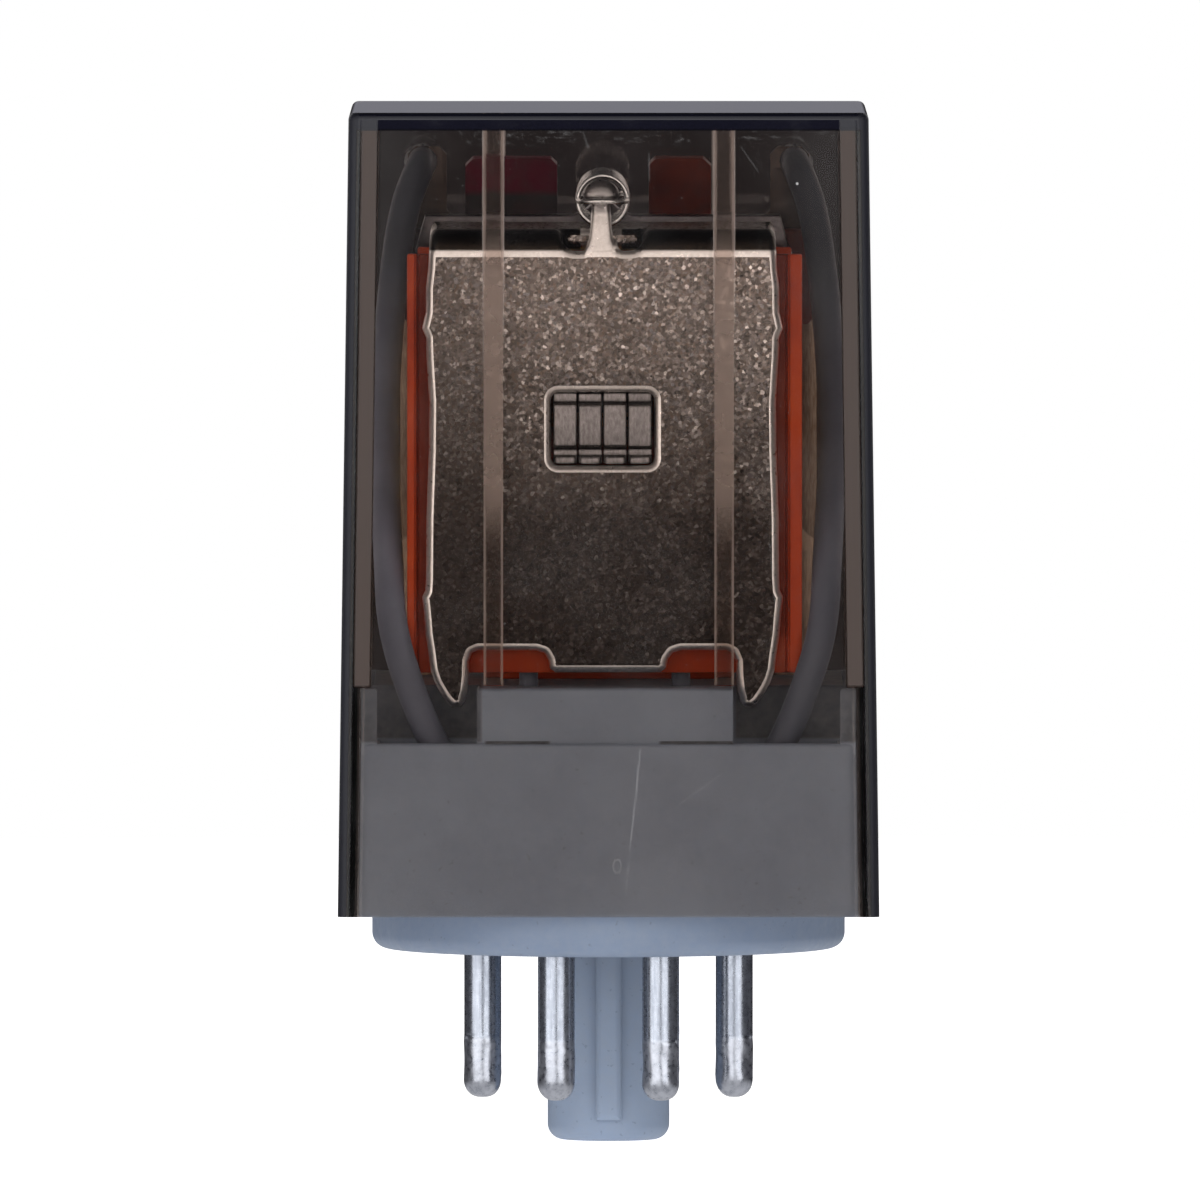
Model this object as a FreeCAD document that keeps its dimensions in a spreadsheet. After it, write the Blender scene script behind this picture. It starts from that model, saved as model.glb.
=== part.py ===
import FreeCAD, Part
import Sketcher
import math
import os
import re

# Octal plug-in relay, two changeover contacts.
# Frame: origin at the centre of the base disc's seating face, +Z up through the cover,
# pins down -Z, the yoke plate faces -Y. Millimetres.

V = FreeCAD.Vector

DIMS = [
    # mechanism centre line, slightly left of the plug axis
    ("mech_x", -0.38),
    # cover: drafted box, open below
    ("cover_foot", 2.7), ("cover_top", 53.9), ("cover_half", 17.25), ("cover_wall", 1.05),
    ("cover_roof", 1.0), ("cover_draft", 0.783), ("cover_corner", 0.6), ("cover_edge", 0.45),
    ("rib_half", 0.62), ("rib_left", -7.34), ("rib_right", 7.36), ("rib_foot", 17.4),
    ("rib_inner", 14.9), ("corner_rib", 15.1),
    # plug base
    ("disc_rad", 15.15), ("disc_edge", 1.0), ("skirt_half", 16.1), ("skirt_top", 13.7),
    ("deck_top", 17.2), ("deck_half", 15.0), ("deck_front", -9.5), ("block_left", -8.37),
    ("block_right", 7.92), ("block_front", -15.3), ("post_inner", 14.75), ("post_outer", 15.8),
    ("well_floor", 11.5), ("well_side", 14.6), ("well_face", 15.0),
    ("spigot_rad", 3.9), ("spigot_end", -12.3), ("key_half", 0.82), ("key_reach", 4.75),
    ("key_end", -10.9),
    # pins
    ("pin_circle", 8.725), ("pin_rad", 1.18), ("pin_tip", -9.45), ("shank_rad", 1.08),
    ("pin_head_rad", 1.7), ("pin_head_foot", 3.0), ("pin_head_top", 3.6), ("contact_pin_top", 6.0),
    # yoke
    ("yoke_front", -13.8), ("plate_thk", 1.4), ("yoke_half", 11.5), ("yoke_top", 46.4),
    ("yoke_foot", 15.95), ("pole_y", 5.9), ("bend_out", 1.75), ("bend_in", 0.2),
    ("barb_high", 40.1), ("barb_low", 22.98), ("waist_in", 0.45), ("barb_out", 0.22),
    ("tongue_foot", 18.17), ("tongue_left", -3.75), ("tongue_right", 3.62), ("notch_top", 19.58),
    ("notch_left", -8.88), ("notch_right", 8.11), ("core_z", 33.69), ("window_wide", 6.6),
    ("window_tall", 4.7), ("window_rad", 0.25), ("relief_half", 2.55), ("relief_foot", 45.05),
    ("relief_back", -10.6), ("stem_half", 0.95), ("neck_half", 0.62), ("head_half", 1.22),
    ("neck_low", 47.55), ("neck_high", 48.4), ("tab_top", 49.6),
    # core
    ("lam_thk", 1.53), ("lam_gap", 0.05), ("lam_half_tall", 2.2), ("slot_tall", 0.9),
    ("slot_deep", 1.3), ("ring_wide", 0.85),
    # bobbin and winding
    ("flange_left", -12.85), ("flange_right", 12.34), ("flange_top", 44.8), ("flange_foot", 18.1), ("flange_thk", 1.15),
    ("rear_flange", 4.9), ("tube_half_x", 4.3), ("tube_half_z", 3.35), ("bore_half_x", 3.36),
    ("bore_half_z", 2.4), ("wind_half_x", 9.5), ("wind_half_z", 10.5), ("wind_corner", 3.6),
    ("tape_thk", 0.25), ("tape_margin", 0.9),
    # armature, drawn closed and then swung open
    ("hinge_z", 46.4), ("arm_gap", 0.05), ("arm_thk", 1.3), ("arm_half", 8.0), ("arm_foot", 28.2),
    ("shoulder_low", 43.2), ("shoulder_mid", 44.4), ("shoulder_half", 12.05), ("arm_top_half", 11.4),
    ("arm_top", 46.75), ("ear_half", 1.9), ("ear_top", 49.9), ("open_angle", 5.0),
    # contact carrier and blades (closed position)
    ("carrier_thk", 1.85), ("carrier_half", 13.2), ("carrier_low", 39.6), ("carrier_high", 45.6),
    ("horn_in", 2.6), ("horn_out", 6.6), ("horn_top", 50.3), ("horn_left_in", 3.3), ("horn_left_out", 9.2),
    ("blade_thk", 0.2), ("blade_in", 9.0), ("blade_out", 13.4), ("blade_foot", 22.0),
    ("blade_top", 50.9), ("contact_z", 24.2), ("contact_x", 11.2), ("contact_rad", 1.55),
    ("contact_head", 0.7), ("contact_gap", 0.06),
    # fixed contact strips
    ("strip_thk", 0.4), ("strip_top", 26.9), ("foot_z", 6.0), ("fixed_head", 0.6),
    ("no_face", 8.34), ("nc_face", 12.08),
    # leads
    ("lead_rad", 0.95), ("coil_lead_rad", 0.6), ("channel_gap", 0.15),
    # return spring
    ("spring_z", 48.2), ("spring_rad", 1.58), ("wire_rad", 0.18), ("spring_front", -11.9),
    ("spring_rear", 4.1), ("spring_turns", 20.5),
]

doc = FreeCAD.newDocument("octal_relay")
sheet = doc.addObject("Spreadsheet::Sheet", "Dims")
for row, (alias, value) in enumerate(DIMS, start=1):
    sheet.set("A%d" % row, alias.replace("_", " "))
    sheet.set("B%d" % row, str(value))
    sheet.setAlias("B%d" % row, alias)
doc.recompute()
NAMES = {alias for alias, _ in DIMS}


def ref(text):
    """An expression in sheet aliases, written out for an object's property."""
    return re.sub(r"[a-z][a-z_0-9]*", lambda m: "Dims." + m.group(0) if m.group(0) in NAMES else m.group(0), str(text))


def num(text):
    """The value of an expression in sheet aliases."""
    return float(sheet.evalExpression(str(text)))


PARTS = {}
MOVING = set()
count = [0]


def tag(stem):
    count[0] += 1
    return "%s_%d" % (stem, count[0])


def new_body(label, moving=False):
    body = doc.addObject("PartDesign::Body", label)
    body.Label = label
    PARTS[label] = body
    if moving:
        MOVING.add(label)
    return body


def plane(body, role):
    return [o for o in body.Origin.OriginFeatures if o.Role == role][0]


def sketch(body, role, lift, loops):
    """Closed polygons [(x, y), ...] and circles ("circle", x, y, radius), every size an expression."""
    sk = body.newObject("Sketcher::SketchObject", tag("Sketch"))
    sk.AttachmentSupport = [(plane(body, role), "")]
    sk.MapMode = "FlatFace"
    sk.setExpression("AttachmentOffset.Base.z", ref(lift))
    for loop in loops:
        if loop[0] == "circle":
            x, y, r = loop[1:]
            g = sk.addGeometry(Part.Circle(V(num(x), num(y), 0), V(0, 0, 1), num(r)))
            todo = [("DistanceX", (-1, 1, g, 3), x), ("DistanceY", (-1, 1, g, 3), y), ("Radius", (g,), r)]
        else:
            pts = [V(num(x), num(y), 0) for x, y in loop]
            first = sk.GeometryCount
            n = len(pts)
            for i in range(n):
                sk.addGeometry(Part.LineSegment(pts[i], pts[(i + 1) % n]))
            for i in range(n):
                sk.addConstraint(Sketcher.Constraint("Coincident", first + i, 2, first + (i + 1) % n, 1))
            todo = []
            for i, (x, y) in enumerate(loop):
                todo.append(("DistanceX", (-1, 1, first + i, 1), x))
                todo.append(("DistanceY", (-1, 1, first + i, 1), y))
        for kind, where, size in todo:
            k = sk.addConstraint(Sketcher.Constraint(kind, *where, num(size)))
            sk.setExpression("Constraints[%d]" % k, ref(size))
    return sk


def pad(body, role, low, high, loops, taper=None):
    """Material from low to high along the axis across the plane."""
    lift = "-(%s)" % high if role == "XZ_Plane" else low
    sk = sketch(body, role, lift, loops)
    f = body.newObject("PartDesign::Pad", tag("Pad"))
    f.Profile = sk
    f.setExpression("Length", ref("(%s)-(%s)" % (high, low)))
    if taper:
        f.setExpression("TaperAngle", ref(taper))
    doc.recompute()
    return f


def pocket(body, role, low, high, loops, taper=None, flip=False):
    """A cut from low to high along the axis across the plane; flip starts it at the other end."""
    if role == "XZ_Plane":
        lift = "-(%s)" % (high if flip else low)
    else:
        lift = low if flip else high
    before = body.Tip.Shape.Volume
    sk = sketch(body, role, lift, loops)
    f = body.newObject("PartDesign::Pocket", tag("Pocket"))
    f.Profile = sk
    f.Reversed = flip
    f.setExpression("Length", ref("(%s)-(%s)" % (high, low)))
    if taper:
        f.setExpression("TaperAngle", ref(taper))
    doc.recompute()
    if not f.Shape.Volume < before - 1e-6:
        raise SystemExit("%s cut nothing from %s" % (f.Name, body.Label))
    return f


def revolve(body, loop, x="0", y="0", axis="V"):
    """A turned solid: the profile (radius, height) round a vertical axis through (x, y)."""
    sk = sketch(body, "XZ_Plane", "0", [loop])
    f = body.newObject("PartDesign::Revolution", tag("Turned"))
    f.Profile = sk
    f.ReferenceAxis = (sk, ["V_Axis"])
    f.Angle = 360
    doc.recompute()
    return f


def corners(feature, role, points, tol=2e-3):
    """Names of the straight edges that run across the plane at these points."""
    axis = {"XY_Plane": 2, "XZ_Plane": 1, "YZ_Plane": 0}[role]
    keep = [i for i in range(3) if i != axis]
    want = [(num(a), num(b)) for a, b in points]
    names = []
    for i, edge in enumerate(feature.Shape.Edges, start=1):
        if len(edge.Vertexes) != 2:
            continue
        p, q = edge.Vertexes[0].Point, edge.Vertexes[1].Point
        if any(abs(p[k] - q[k]) > tol for k in keep):
            continue
        if any(abs(p[keep[0]] - a) < tol and abs(p[keep[1]] - b) < tol for a, b in want):
            names.append("Edge%d" % i)
    return names


def chosen(feature, test):
    """Names of the edges whose bounding box passes the test."""
    return ["Edge%d" % i for i, e in enumerate(feature.Shape.Edges, start=1) if test(e.BoundBox, e)]


def fillet(body, edges, radius, optional=False):
    """Rounded edges on the tip of the body."""
    if not edges:
        raise SystemExit("no edges to round on " + body.Label)
    base = body.Tip
    f = body.newObject("PartDesign::Fillet", tag("Fillet"))
    f.Base = (base, edges)
    f.setExpression("Radius", ref(radius))
    doc.recompute()
    if "Invalid" in f.State or f.Shape.isNull() or not f.Shape.isValid():
        print("rounding failed on %s %s radius %s" % (body.Label, edges, radius))
        if not optional:
            raise SystemExit(1)
        f.clearExpression("Radius") if hasattr(f, "clearExpression") else f.setExpression("Radius", None)
        body.removeObject(f)
        doc.removeObject(f.Name)
        body.Tip = base
        doc.recompute()
        return None
    return f


def rect(x0, x1, y0, y1):
    return [(x0, y0), (x1, y0), (x1, y1), (x0, y1)]


def free_solid(label, shape, moving=False, keep=True):
    obj = doc.addObject("Part::Feature", label)
    obj.Label = label
    obj.Shape = shape
    if keep:
        PARTS[label] = obj
        if moving:
            MOVING.add(label)
    return obj


# ------------------------------------------------------------------ cover
cover = new_body("cover")
pad(cover, "XY_Plane", "cover_foot", "cover_top", [rect("-cover_half", "cover_half", "-cover_half", "cover_half")], "-cover_draft")
upright = chosen(cover.Tip, lambda b, e: b.ZLength > 40)
fillet(cover, upright, "cover_corner")
fillet(cover, chosen(cover.Tip, lambda b, e: b.ZMin > num("cover_top") - 0.01), "cover_edge")
inner = "(cover_half-cover_wall)"
pocket(cover, "XY_Plane", "cover_foot", "cover_top-cover_roof", [rect("-" + inner, inner, "-" + inner, inner)], "-cover_draft", flip=True)
fillet(cover, chosen(cover.Tip, lambda b, e: b.ZLength > 40 and abs(b.ZMin - num("cover_foot")) < 0.01
                     and abs(b.XMin) < num(inner) + 0.01 and abs(b.XMax) < num(inner) + 0.01
                     and abs(b.YMin) < num(inner) + 0.01 and abs(b.YMax) < num(inner) + 0.01), "0.5")
roof = "cover_top-cover_roof+0.3"
for face in ("-", ""):
    y0, y1 = ("-16.3", "-rib_inner") if face else ("rib_inner", "16.3")
    pad(cover, "XY_Plane", "rib_foot", roof, [rect("rib_left-rib_half", "rib_left+rib_half", y0, y1)])
    pad(cover, "XY_Plane", "rib_foot", roof, [rect("rib_right-rib_half", "rib_right+rib_half", y0, y1)])
for sx in ("", "-"):
    for sy in ("", "-"):
        loop = [("corner_rib", "corner_rib"), ("16.1", "corner_rib"), ("16.1", "15.7"), ("15.7", "16.1"), ("corner_rib", "16.1")]
        loop = [(sx + a, sy + b) for a, b in loop]
        pad(cover, "XY_Plane", "rib_foot", roof, [loop])

# ------------------------------------------------------------------ plug base
blank = doc.addObject("PartDesign::Body", "base_blank")
pad(blank, "XY_Plane", "cover_foot", "skirt_top", [rect("-skirt_half", "skirt_half", "-skirt_half", "skirt_half")], "-cover_draft")
fillet(blank, chosen(blank.Tip, lambda b, e: b.ZLength > 10), "0.9")
fillet(blank, chosen(blank.Tip, lambda b, e: b.ZMin > num("skirt_top") - 0.01), "0.25")
pad(blank, "XY_Plane", "0", "cover_foot", [("circle", "0", "0", "disc_rad")])
fillet(blank, chosen(blank.Tip, lambda b, e: b.ZMax < 0.01), "disc_edge")
pad(blank, "XY_Plane", "13", "deck_top", [rect("-deck_half", "deck_half", "deck_front", "deck_half")])
pad(blank, "XY_Plane", "13", "deck_top", [rect("block_left", "block_right", "block_front", "deck_front")])
for sx in ("", "-"):
    for sy in ("", "-"):
        pad(blank, "XY_Plane", "13", "deck_top", [rect(sx + "post_inner", sx + "post_outer", sy + "post_inner", sy + "post_outer")])
pocket(blank, "XY_Plane", "well_floor", "skirt_top", [rect("-well_side", "block_left", "-well_face", "deck_front")])
pocket(blank, "XY_Plane", "well_floor", "skirt_top", [rect("block_right", "well_side", "-well_face", "deck_front")])
fillet(blank, chosen(blank.Tip, lambda b, e: b.ZMin > num("deck_top") - 0.01 and b.YMin < num("deck_front") + 0.01 and b.YMax > num("block_front") - 0.01
                     and abs(b.XMin) < 14.8), "0.2", optional=True)
pad(blank, "XY_Plane", "spigot_end", "0.2", [("circle", "0", "0", "spigot_rad")])
fillet(blank, chosen(blank.Tip, lambda b, e: abs(b.ZMax - num("spigot_end")) < 0.01), "1.0")
pad(blank, "XY_Plane", "key_end", "0.2", [rect("-key_half", "key_half", "-key_reach", "-2.5")])
fillet(blank, chosen(blank.Tip, lambda b, e: abs(b.YMax + num("key_reach")) < 0.01 and b.YLength < 0.01 and b.ZMin < -1), "0.45")

# ------------------------------------------------------------------ pins
for k in range(1, 9):
    pin = new_body("pin_%d" % k)
    top = "contact_pin_top" if k in (3, 4, 5, 6) else "pin_head_top"
    revolve(pin, [("0", "pin_tip"), ("pin_rad", "pin_tip"), ("pin_rad", "0"), ("shank_rad", "0"),
                  ("shank_rad", top + "-0.6"), ("pin_head_rad", top + "-0.6"), ("pin_head_rad", top), ("0", top)])
    fillet(pin, chosen(pin.Tip, lambda b, e: b.ZMax < num("pin_tip") + 0.01 and b.XLength > 1), "0.85")
    turn = -67.5 + 45 * (k - 1)
    pin.setExpression("Placement.Base.x", ref("pin_circle*cos(%g)" % turn))
    pin.setExpression("Placement.Base.y", ref("pin_circle*sin(%g)" % turn))

# ------------------------------------------------------------------ yoke: front plate, top leg and spring tab
yoke = new_body("yoke")
pad(yoke, "YZ_Plane", "mech_x-yoke_half", "mech_x+yoke_half", [[
    ("yoke_front", "yoke_foot"), ("yoke_front+plate_thk", "yoke_foot"), ("yoke_front+plate_thk", "yoke_top-plate_thk"),
    ("pole_y", "yoke_top-plate_thk"), ("pole_y", "yoke_top"), ("yoke_front", "yoke_top")]])
fillet(yoke, corners(yoke.Tip, "YZ_Plane", [("yoke_front", "yoke_top")]), "bend_out")
fillet(yoke, corners(yoke.Tip, "YZ_Plane", [("yoke_front+plate_thk", "yoke_top-plate_thk")]), "bend_in")
front, back = "yoke_front-0.5", "yoke_front+plate_thk+0.2"
for s in ("-", ""):
    m = "mech_x%s" % ("-" if s else "+")
    edge = m + "yoke_half"

    def at(d, m=m, s=s):
        return "mech_x%syoke_half%s" % ("-" if s else "+", ("+(%s)" % d) if s else ("-(%s)" % d))
    # shallow waist between two shear barbs, and a slimmer run above and below them
    waist = [(at("-1"), "barb_high"), (at("0"), "barb_high"), (at("waist_in*0.5"), "barb_high-0.75"),
             (at("waist_in*0.6"), "barb_high-2"), (at("waist_in"), "barb_high-4.7"), (at("waist_in*0.95"), "core_z-1.2"), (at("waist_in*0.55"), "barb_low+5"),
             (at("waist_in*0.5"), "barb_low+0.8"), (at("0"), "barb_low"), (at("-1"), "barb_low")]
    pocket(yoke, "XZ_Plane", front, back, [waist])
    upper = [(at("-1"), "barb_high+0.25"), (at("0.05"), "barb_high+0.25"), (at("barb_out"), "barb_high+0.9"),
             (at("barb_out"), "yoke_top-3.7"), (at("barb_out+0.15"), "yoke_top-2.5"), (at("barb_out+0.25"), "yoke_top-1.0"), (at("barb_out+0.25"), "yoke_top+0.3"), (at("-1"), "yoke_top+0.3")]
    pocket(yoke, "XZ_Plane", front, back, [upper])
    # curved outer flank of the pointed foot
    flank = [(at("-1"), "barb_low-0.3"), (at("0.05"), "barb_low-0.3"), (at("0.1"), "barb_low-1.1"), (at("0.2"), "barb_low-2.4"),
             (at("0.38"), "barb_low-3.6"), (at("0.52"), "barb_low-4.7"), (at("0.85"), "barb_low-5.6"), (at("1.28"), "barb_low-6.33"),
             (at("1.7"), "yoke_foot+0.2"), (at("2.0"), "yoke_foot"), (at("2.0"), "yoke_foot-0.5"), (at("-1"), "yoke_foot-0.5")]
    pocket(yoke, "XZ_Plane", front, back, [flank])
# notches beside the tongue, with the inner flank of each foot
pocket(yoke, "XZ_Plane", front, back, [[
    ("-9.4", "yoke_foot-0.5"), ("-9.4", "yoke_foot"), ("-9.16", "yoke_foot+0.35"), ("-8.95", "yoke_foot+1.2"), ("notch_left", "yoke_foot+2.0"),
    ("notch_left", "notch_top-0.5"), ("notch_left+0.4", "notch_top"), ("tongue_left-0.9", "notch_top"), ("tongue_left-0.2", "notch_top-0.5"),
    ("tongue_left", "tongue_foot+0.3"), ("tongue_left+0.3", "tongue_foot"), ("tongue_right-0.3", "tongue_foot"), ("tongue_right", "tongue_foot+0.3"),
    ("tongue_right+0.2", "notch_top-0.5"), ("tongue_right+0.9", "notch_top"), ("notch_right-0.4", "notch_top"), ("notch_right", "notch_top-0.5"),
    ("notch_right", "yoke_foot+2.0"), ("8.2", "yoke_foot+1.2"), ("8.4", "yoke_foot+0.35"), ("8.64", "yoke_foot"), ("8.64", "yoke_foot-0.5")]])
# window for the core end
pocket(yoke, "XZ_Plane", front, back, [rect("mech_x-window_wide/2", "mech_x+window_wide/2", "core_z-window_tall/2", "core_z+window_tall/2")])
fillet(yoke, corners(yoke.Tip, "XZ_Plane", [("mech_x-window_wide/2", "core_z-window_tall/2"), ("mech_x+window_wide/2", "core_z-window_tall/2"),
                                          ("mech_x-window_wide/2", "core_z+window_tall/2"), ("mech_x+window_wide/2", "core_z+window_tall/2")]), "window_rad")
# relief in the bend, and the tab that stands in it
pocket(yoke, "XZ_Plane", front, "relief_back", [[
    ("mech_x-relief_half+0.45", "relief_foot"), ("mech_x+relief_half-0.45", "relief_foot"), ("mech_x+relief_half", "relief_foot+0.45"),
    ("mech_x+relief_half", "yoke_top+0.5"), ("mech_x-relief_half", "yoke_top+0.5"), ("mech_x-relief_half", "relief_foot+0.45")]])
HEAD = [("stem_half+0.35", "relief_foot-0.6"), ("stem_half+0.35", "relief_foot"), ("stem_half", "relief_foot+0.5"), ("stem_half", "neck_low-0.3"),
        ("neck_half", "neck_low"), ("neck_half", "neck_high-0.02"), ("head_half", "neck_high"), ("head_half", "tab_top-0.75"),
        ("head_half-0.25", "tab_top-0.32"), ("head_half-0.62", "tab_top-0.06"), ("0.25", "tab_top")]
tab = [("mech_x+" + a, b) for a, b in HEAD] + [("mech_x-(%s)" % a, b) for a, b in reversed(HEAD)]
pad(yoke, "XZ_Plane", "yoke_front", "yoke_front+plate_thk", [tab])

# ------------------------------------------------------------------ core laminations and shading ring
for k in range(4):
    lam = new_body("core_lamination_%d" % (k + 1))
    x0 = "mech_x+(%d)*(lam_thk+lam_gap)+lam_gap/2" % (k - 2)
    x1 = x0 + "+lam_thk"
    pad(lam, "YZ_Plane", x0, x1, [[
        ("yoke_front+0.55", "core_z-lam_half_tall"), ("pole_y", "core_z-lam_half_tall"),
        ("pole_y", "core_z-slot_tall/2"), ("pole_y-slot_deep", "core_z-slot_tall/2"), ("pole_y-slot_deep", "core_z+slot_tall/2"), ("pole_y", "core_z+slot_tall/2"),
        ("pole_y", "core_z+lam_half_tall"), ("yoke_front+0.55", "core_z+lam_half_tall"),
        ("yoke_front+0.55", "core_z+1.66"), ("yoke_front+0.25", "core_z+1.6"), ("yoke_front+0.25", "core_z-1.16"), ("yoke_front+0.55", "core_z-1.22")]])
ring = new_body("shading_ring")
half = "(2*lam_thk+2*lam_gap+0.04)"
pad(ring, "XZ_Plane", "pole_y-0.95", "pole_y-0.05", [rect("mech_x-%s-ring_wide" % half, "mech_x+%s+ring_wide" % half, "core_z-slot_tall/2+0.02", "core_z+lam_half_tall+0.05+ring_wide")])
pocket(ring, "XZ_Plane", "pole_y-1.2", "pole_y+0.2", [rect("mech_x-" + half, "mech_x+" + half, "core_z+slot_tall/2-0.02", "core_z+lam_half_tall+0.05")])

# ------------------------------------------------------------------ bobbin, winding and tape
bobbin = new_body("bobbin")
fl0, fl1 = "yoke_front+plate_thk", "yoke_front+plate_thk+flange_thk"
pad(bobbin, "XZ_Plane", fl0, fl1, [rect("flange_left", "flange_right", "flange_foot", "flange_top")])
pad(bobbin, "XZ_Plane", fl0, "rear_flange", [rect("mech_x-tube_half_x", "mech_x+tube_half_x", "core_z-tube_half_z", "core_z+tube_half_z")])
pad(bobbin, "XZ_Plane", "rear_flange-flange_thk", "rear_flange", [rect("flange_left+0.6", "flange_right-0.6", "flange_foot", "flange_top")])
pad(bobbin, "XY_Plane", "deck_top", "20.5", [rect("-8", "8", "0.6", "rear_flange")])
pocket(bobbin, "XZ_Plane", fl0 + "-0.5", "rear_flange+0.5", [rect("mech_x-bore_half_x", "mech_x+bore_half_x", "core_z-bore_half_z", "core_z+bore_half_z")])
for x in ("-12.24", "11.43"):
    pocket(bobbin, "XZ_Plane", fl0 + "-0.5", fl0 + "+0.3", [rect(x + "-0.12", x + "+0.12", "flange_foot-1", "flange_top+1")])
winding = new_body("coil_winding")
wx, wz = "wind_half_x", "wind_half_z"
cut = rect("mech_x-tube_half_x", "mech_x+tube_half_x", "core_z-tube_half_z", "core_z+tube_half_z")
pad(winding, "XZ_Plane", fl1, "rear_flange-flange_thk", [rect("mech_x-" + wx, "mech_x+" + wx, "core_z-" + wz, "core_z+" + wz)])
four = [("mech_x-" + wx, "core_z-" + wz), ("mech_x+" + wx, "core_z-" + wz), ("mech_x-" + wx, "core_z+" + wz), ("mech_x+" + wx, "core_z+" + wz)]
fillet(winding, corners(winding.Tip, "XZ_Plane", four), "wind_corner")
pocket(winding, "XZ_Plane", fl1 + "-0.5", "rear_flange", [cut])
tape = doc.addObject("PartDesign::Body", "tape_blank")
pad(tape, "XZ_Plane", fl1 + "+tape_margin", "rear_flange-flange_thk-tape_margin", [rect("mech_x-%s-tape_thk" % wx, "mech_x+%s+tape_thk" % wx, "core_z-%s-tape_thk" % wz, "core_z+%s+tape_thk" % wz)])
four_out = [("mech_x-%s-tape_thk" % wx, "core_z-%s-tape_thk" % wz), ("mech_x+%s+tape_thk" % wx, "core_z-%s-tape_thk" % wz),
            ("mech_x-%s-tape_thk" % wx, "core_z+%s+tape_thk" % wz), ("mech_x+%s+tape_thk" % wx, "core_z+%s+tape_thk" % wz)]
fillet(tape, corners(tape.Tip, "XZ_Plane", four_out), "wind_corner+tape_thk")
bore = doc.addObject("PartDesign::Body", "tape_bore")
pad(bore, "XZ_Plane", fl1, "rear_flange-flange_thk", [rect("mech_x-" + wx, "mech_x+" + wx, "core_z-" + wz, "core_z+" + wz)])
fillet(bore, corners(bore.Tip, "XZ_Plane", four), "wind_corner")
wrap = doc.addObject("Part::Cut", "coil_tape")
wrap.Label = "coil_tape"
wrap.Base = tape
wrap.Tool = bore
PARTS["coil_tape"] = wrap

# ------------------------------------------------------------------ armature, drawn closed against the pole
face = "pole_y+arm_gap"
arm = new_body("armature", True)
EAR = [("ear_half", "arm_top"), ("stem_half+0.2", "arm_top+0.35"), ("stem_half", "neck_low-0.3"),
       ("neck_half", "neck_low"), ("neck_half", "neck_high-0.02"), ("head_half", "neck_high"), ("head_half", "tab_top-0.75"),
       ("head_half-0.25", "tab_top-0.32"), ("head_half-0.62", "tab_top-0.06"), ("0.25", "tab_top")]
SIDE = [("arm_half-1.2", "arm_foot"), ("arm_half", "arm_foot+1.2"), ("arm_half", "shoulder_low"), ("shoulder_half", "shoulder_mid"),
        ("arm_top_half", "arm_top")] + EAR
loop = [("mech_x+" + a, b) for a, b in SIDE] + [("mech_x-(%s)" % a, b) for a, b in reversed(SIDE)]
pad(arm, "XZ_Plane", face, face + "+arm_thk", [loop])
RIVETS = [("mech_x-5", "42.6"), ("mech_x+5", "42.6")]
pocket(arm, "XZ_Plane", face + "-0.5", face + "+arm_thk+0.5", [("circle", x, z, "0.8") for x, z in RIVETS])

# ------------------------------------------------------------------ contact carrier on the back of the armature
carrier = new_body("contact_carrier", True)
car0, car1 = face + "+arm_thk", face + "+arm_thk+carrier_thk"
outline = []
RIGHT = [("7.2", "carrier_low+1.4"), ("8.6", "carrier_low+1.4"), ("9.0", "carrier_low"), ("carrier_half-0.4", "carrier_low"), ("carrier_half", "carrier_low+0.4"), ("carrier_half", "carrier_high-0.4"), ("carrier_half-0.4", "carrier_high"),
         ("horn_out", "carrier_high"), ("horn_out", "horn_top-0.5"), ("horn_out-0.5", "horn_top"), ("horn_in+0.4", "horn_top"), ("horn_in", "horn_top-0.4"), ("horn_in", "carrier_high")]
LEFT = [(a.replace("horn_", "horn_left_"), b) for a, b in RIGHT]
outline = [(a, b) for a, b in RIGHT] + [("-(%s)" % a, b) for a, b in reversed(LEFT)]
pad(carrier, "XZ_Plane", car0, car1, [outline])
BLADE_RIVETS = ["41.2", "44.1"]
holes = [("circle", x, z, "0.8") for x, z in RIVETS]
pocket(carrier, "XZ_Plane", car0 + "-0.5", car1 + "+0.5", holes)
pocket(carrier, "XZ_Plane", car0 + "-0.5", car1 + "+0.5", [("circle", sx + "contact_x", z, "0.6") for sx in ("", "-") for z in BLADE_RIVETS])
pad(carrier, "XZ_Plane", car1 + "-0.1", car1 + "+0.9", [rect("-8.2", "-7.2", "carrier_low+1.4", "carrier_high"), rect("6.9", "7.9", "carrier_low+1.4", "carrier_high")])

# ------------------------------------------------------------------ moving blades
bl0, bl1 = car1, car1 + "+blade_thk"
for side, s in (("left", "-"), ("right", "")):
    blade = new_body("moving_blade_" + side, True)
    P = [("blade_in+1.4", "blade_foot"), ("blade_out-1.4", "blade_foot"), ("blade_out-0.4", "blade_foot+0.45"), ("blade_out", "blade_foot+1.5"), ("blade_out", "carrier_high+0.3"),
         ("blade_out-0.5", "carrier_high+1.2"), ("blade_out-0.5", "blade_top-0.5"), ("blade_out-1.0", "blade_top"), ("blade_in+1.9", "blade_top"), ("blade_in+1.4", "blade_top-0.5"),
         ("blade_in+1.4", "carrier_high+1.2"), ("blade_in", "carrier_high-0.2"), ("blade_in", "blade_foot+1.5"), ("blade_in+0.4", "blade_foot+0.45")]
    pad(blade, "XZ_Plane", bl0, bl1, [[(s + "(%s)" % a, b) for a, b in P]])
    pocket(blade, "XZ_Plane", bl0 + "-0.5", bl1 + "+0.5", [("circle", s + "contact_x", z, "0.6") for z in BLADE_RIVETS] + [("circle", s + "contact_x", "contact_z", "0.7")])


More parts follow.
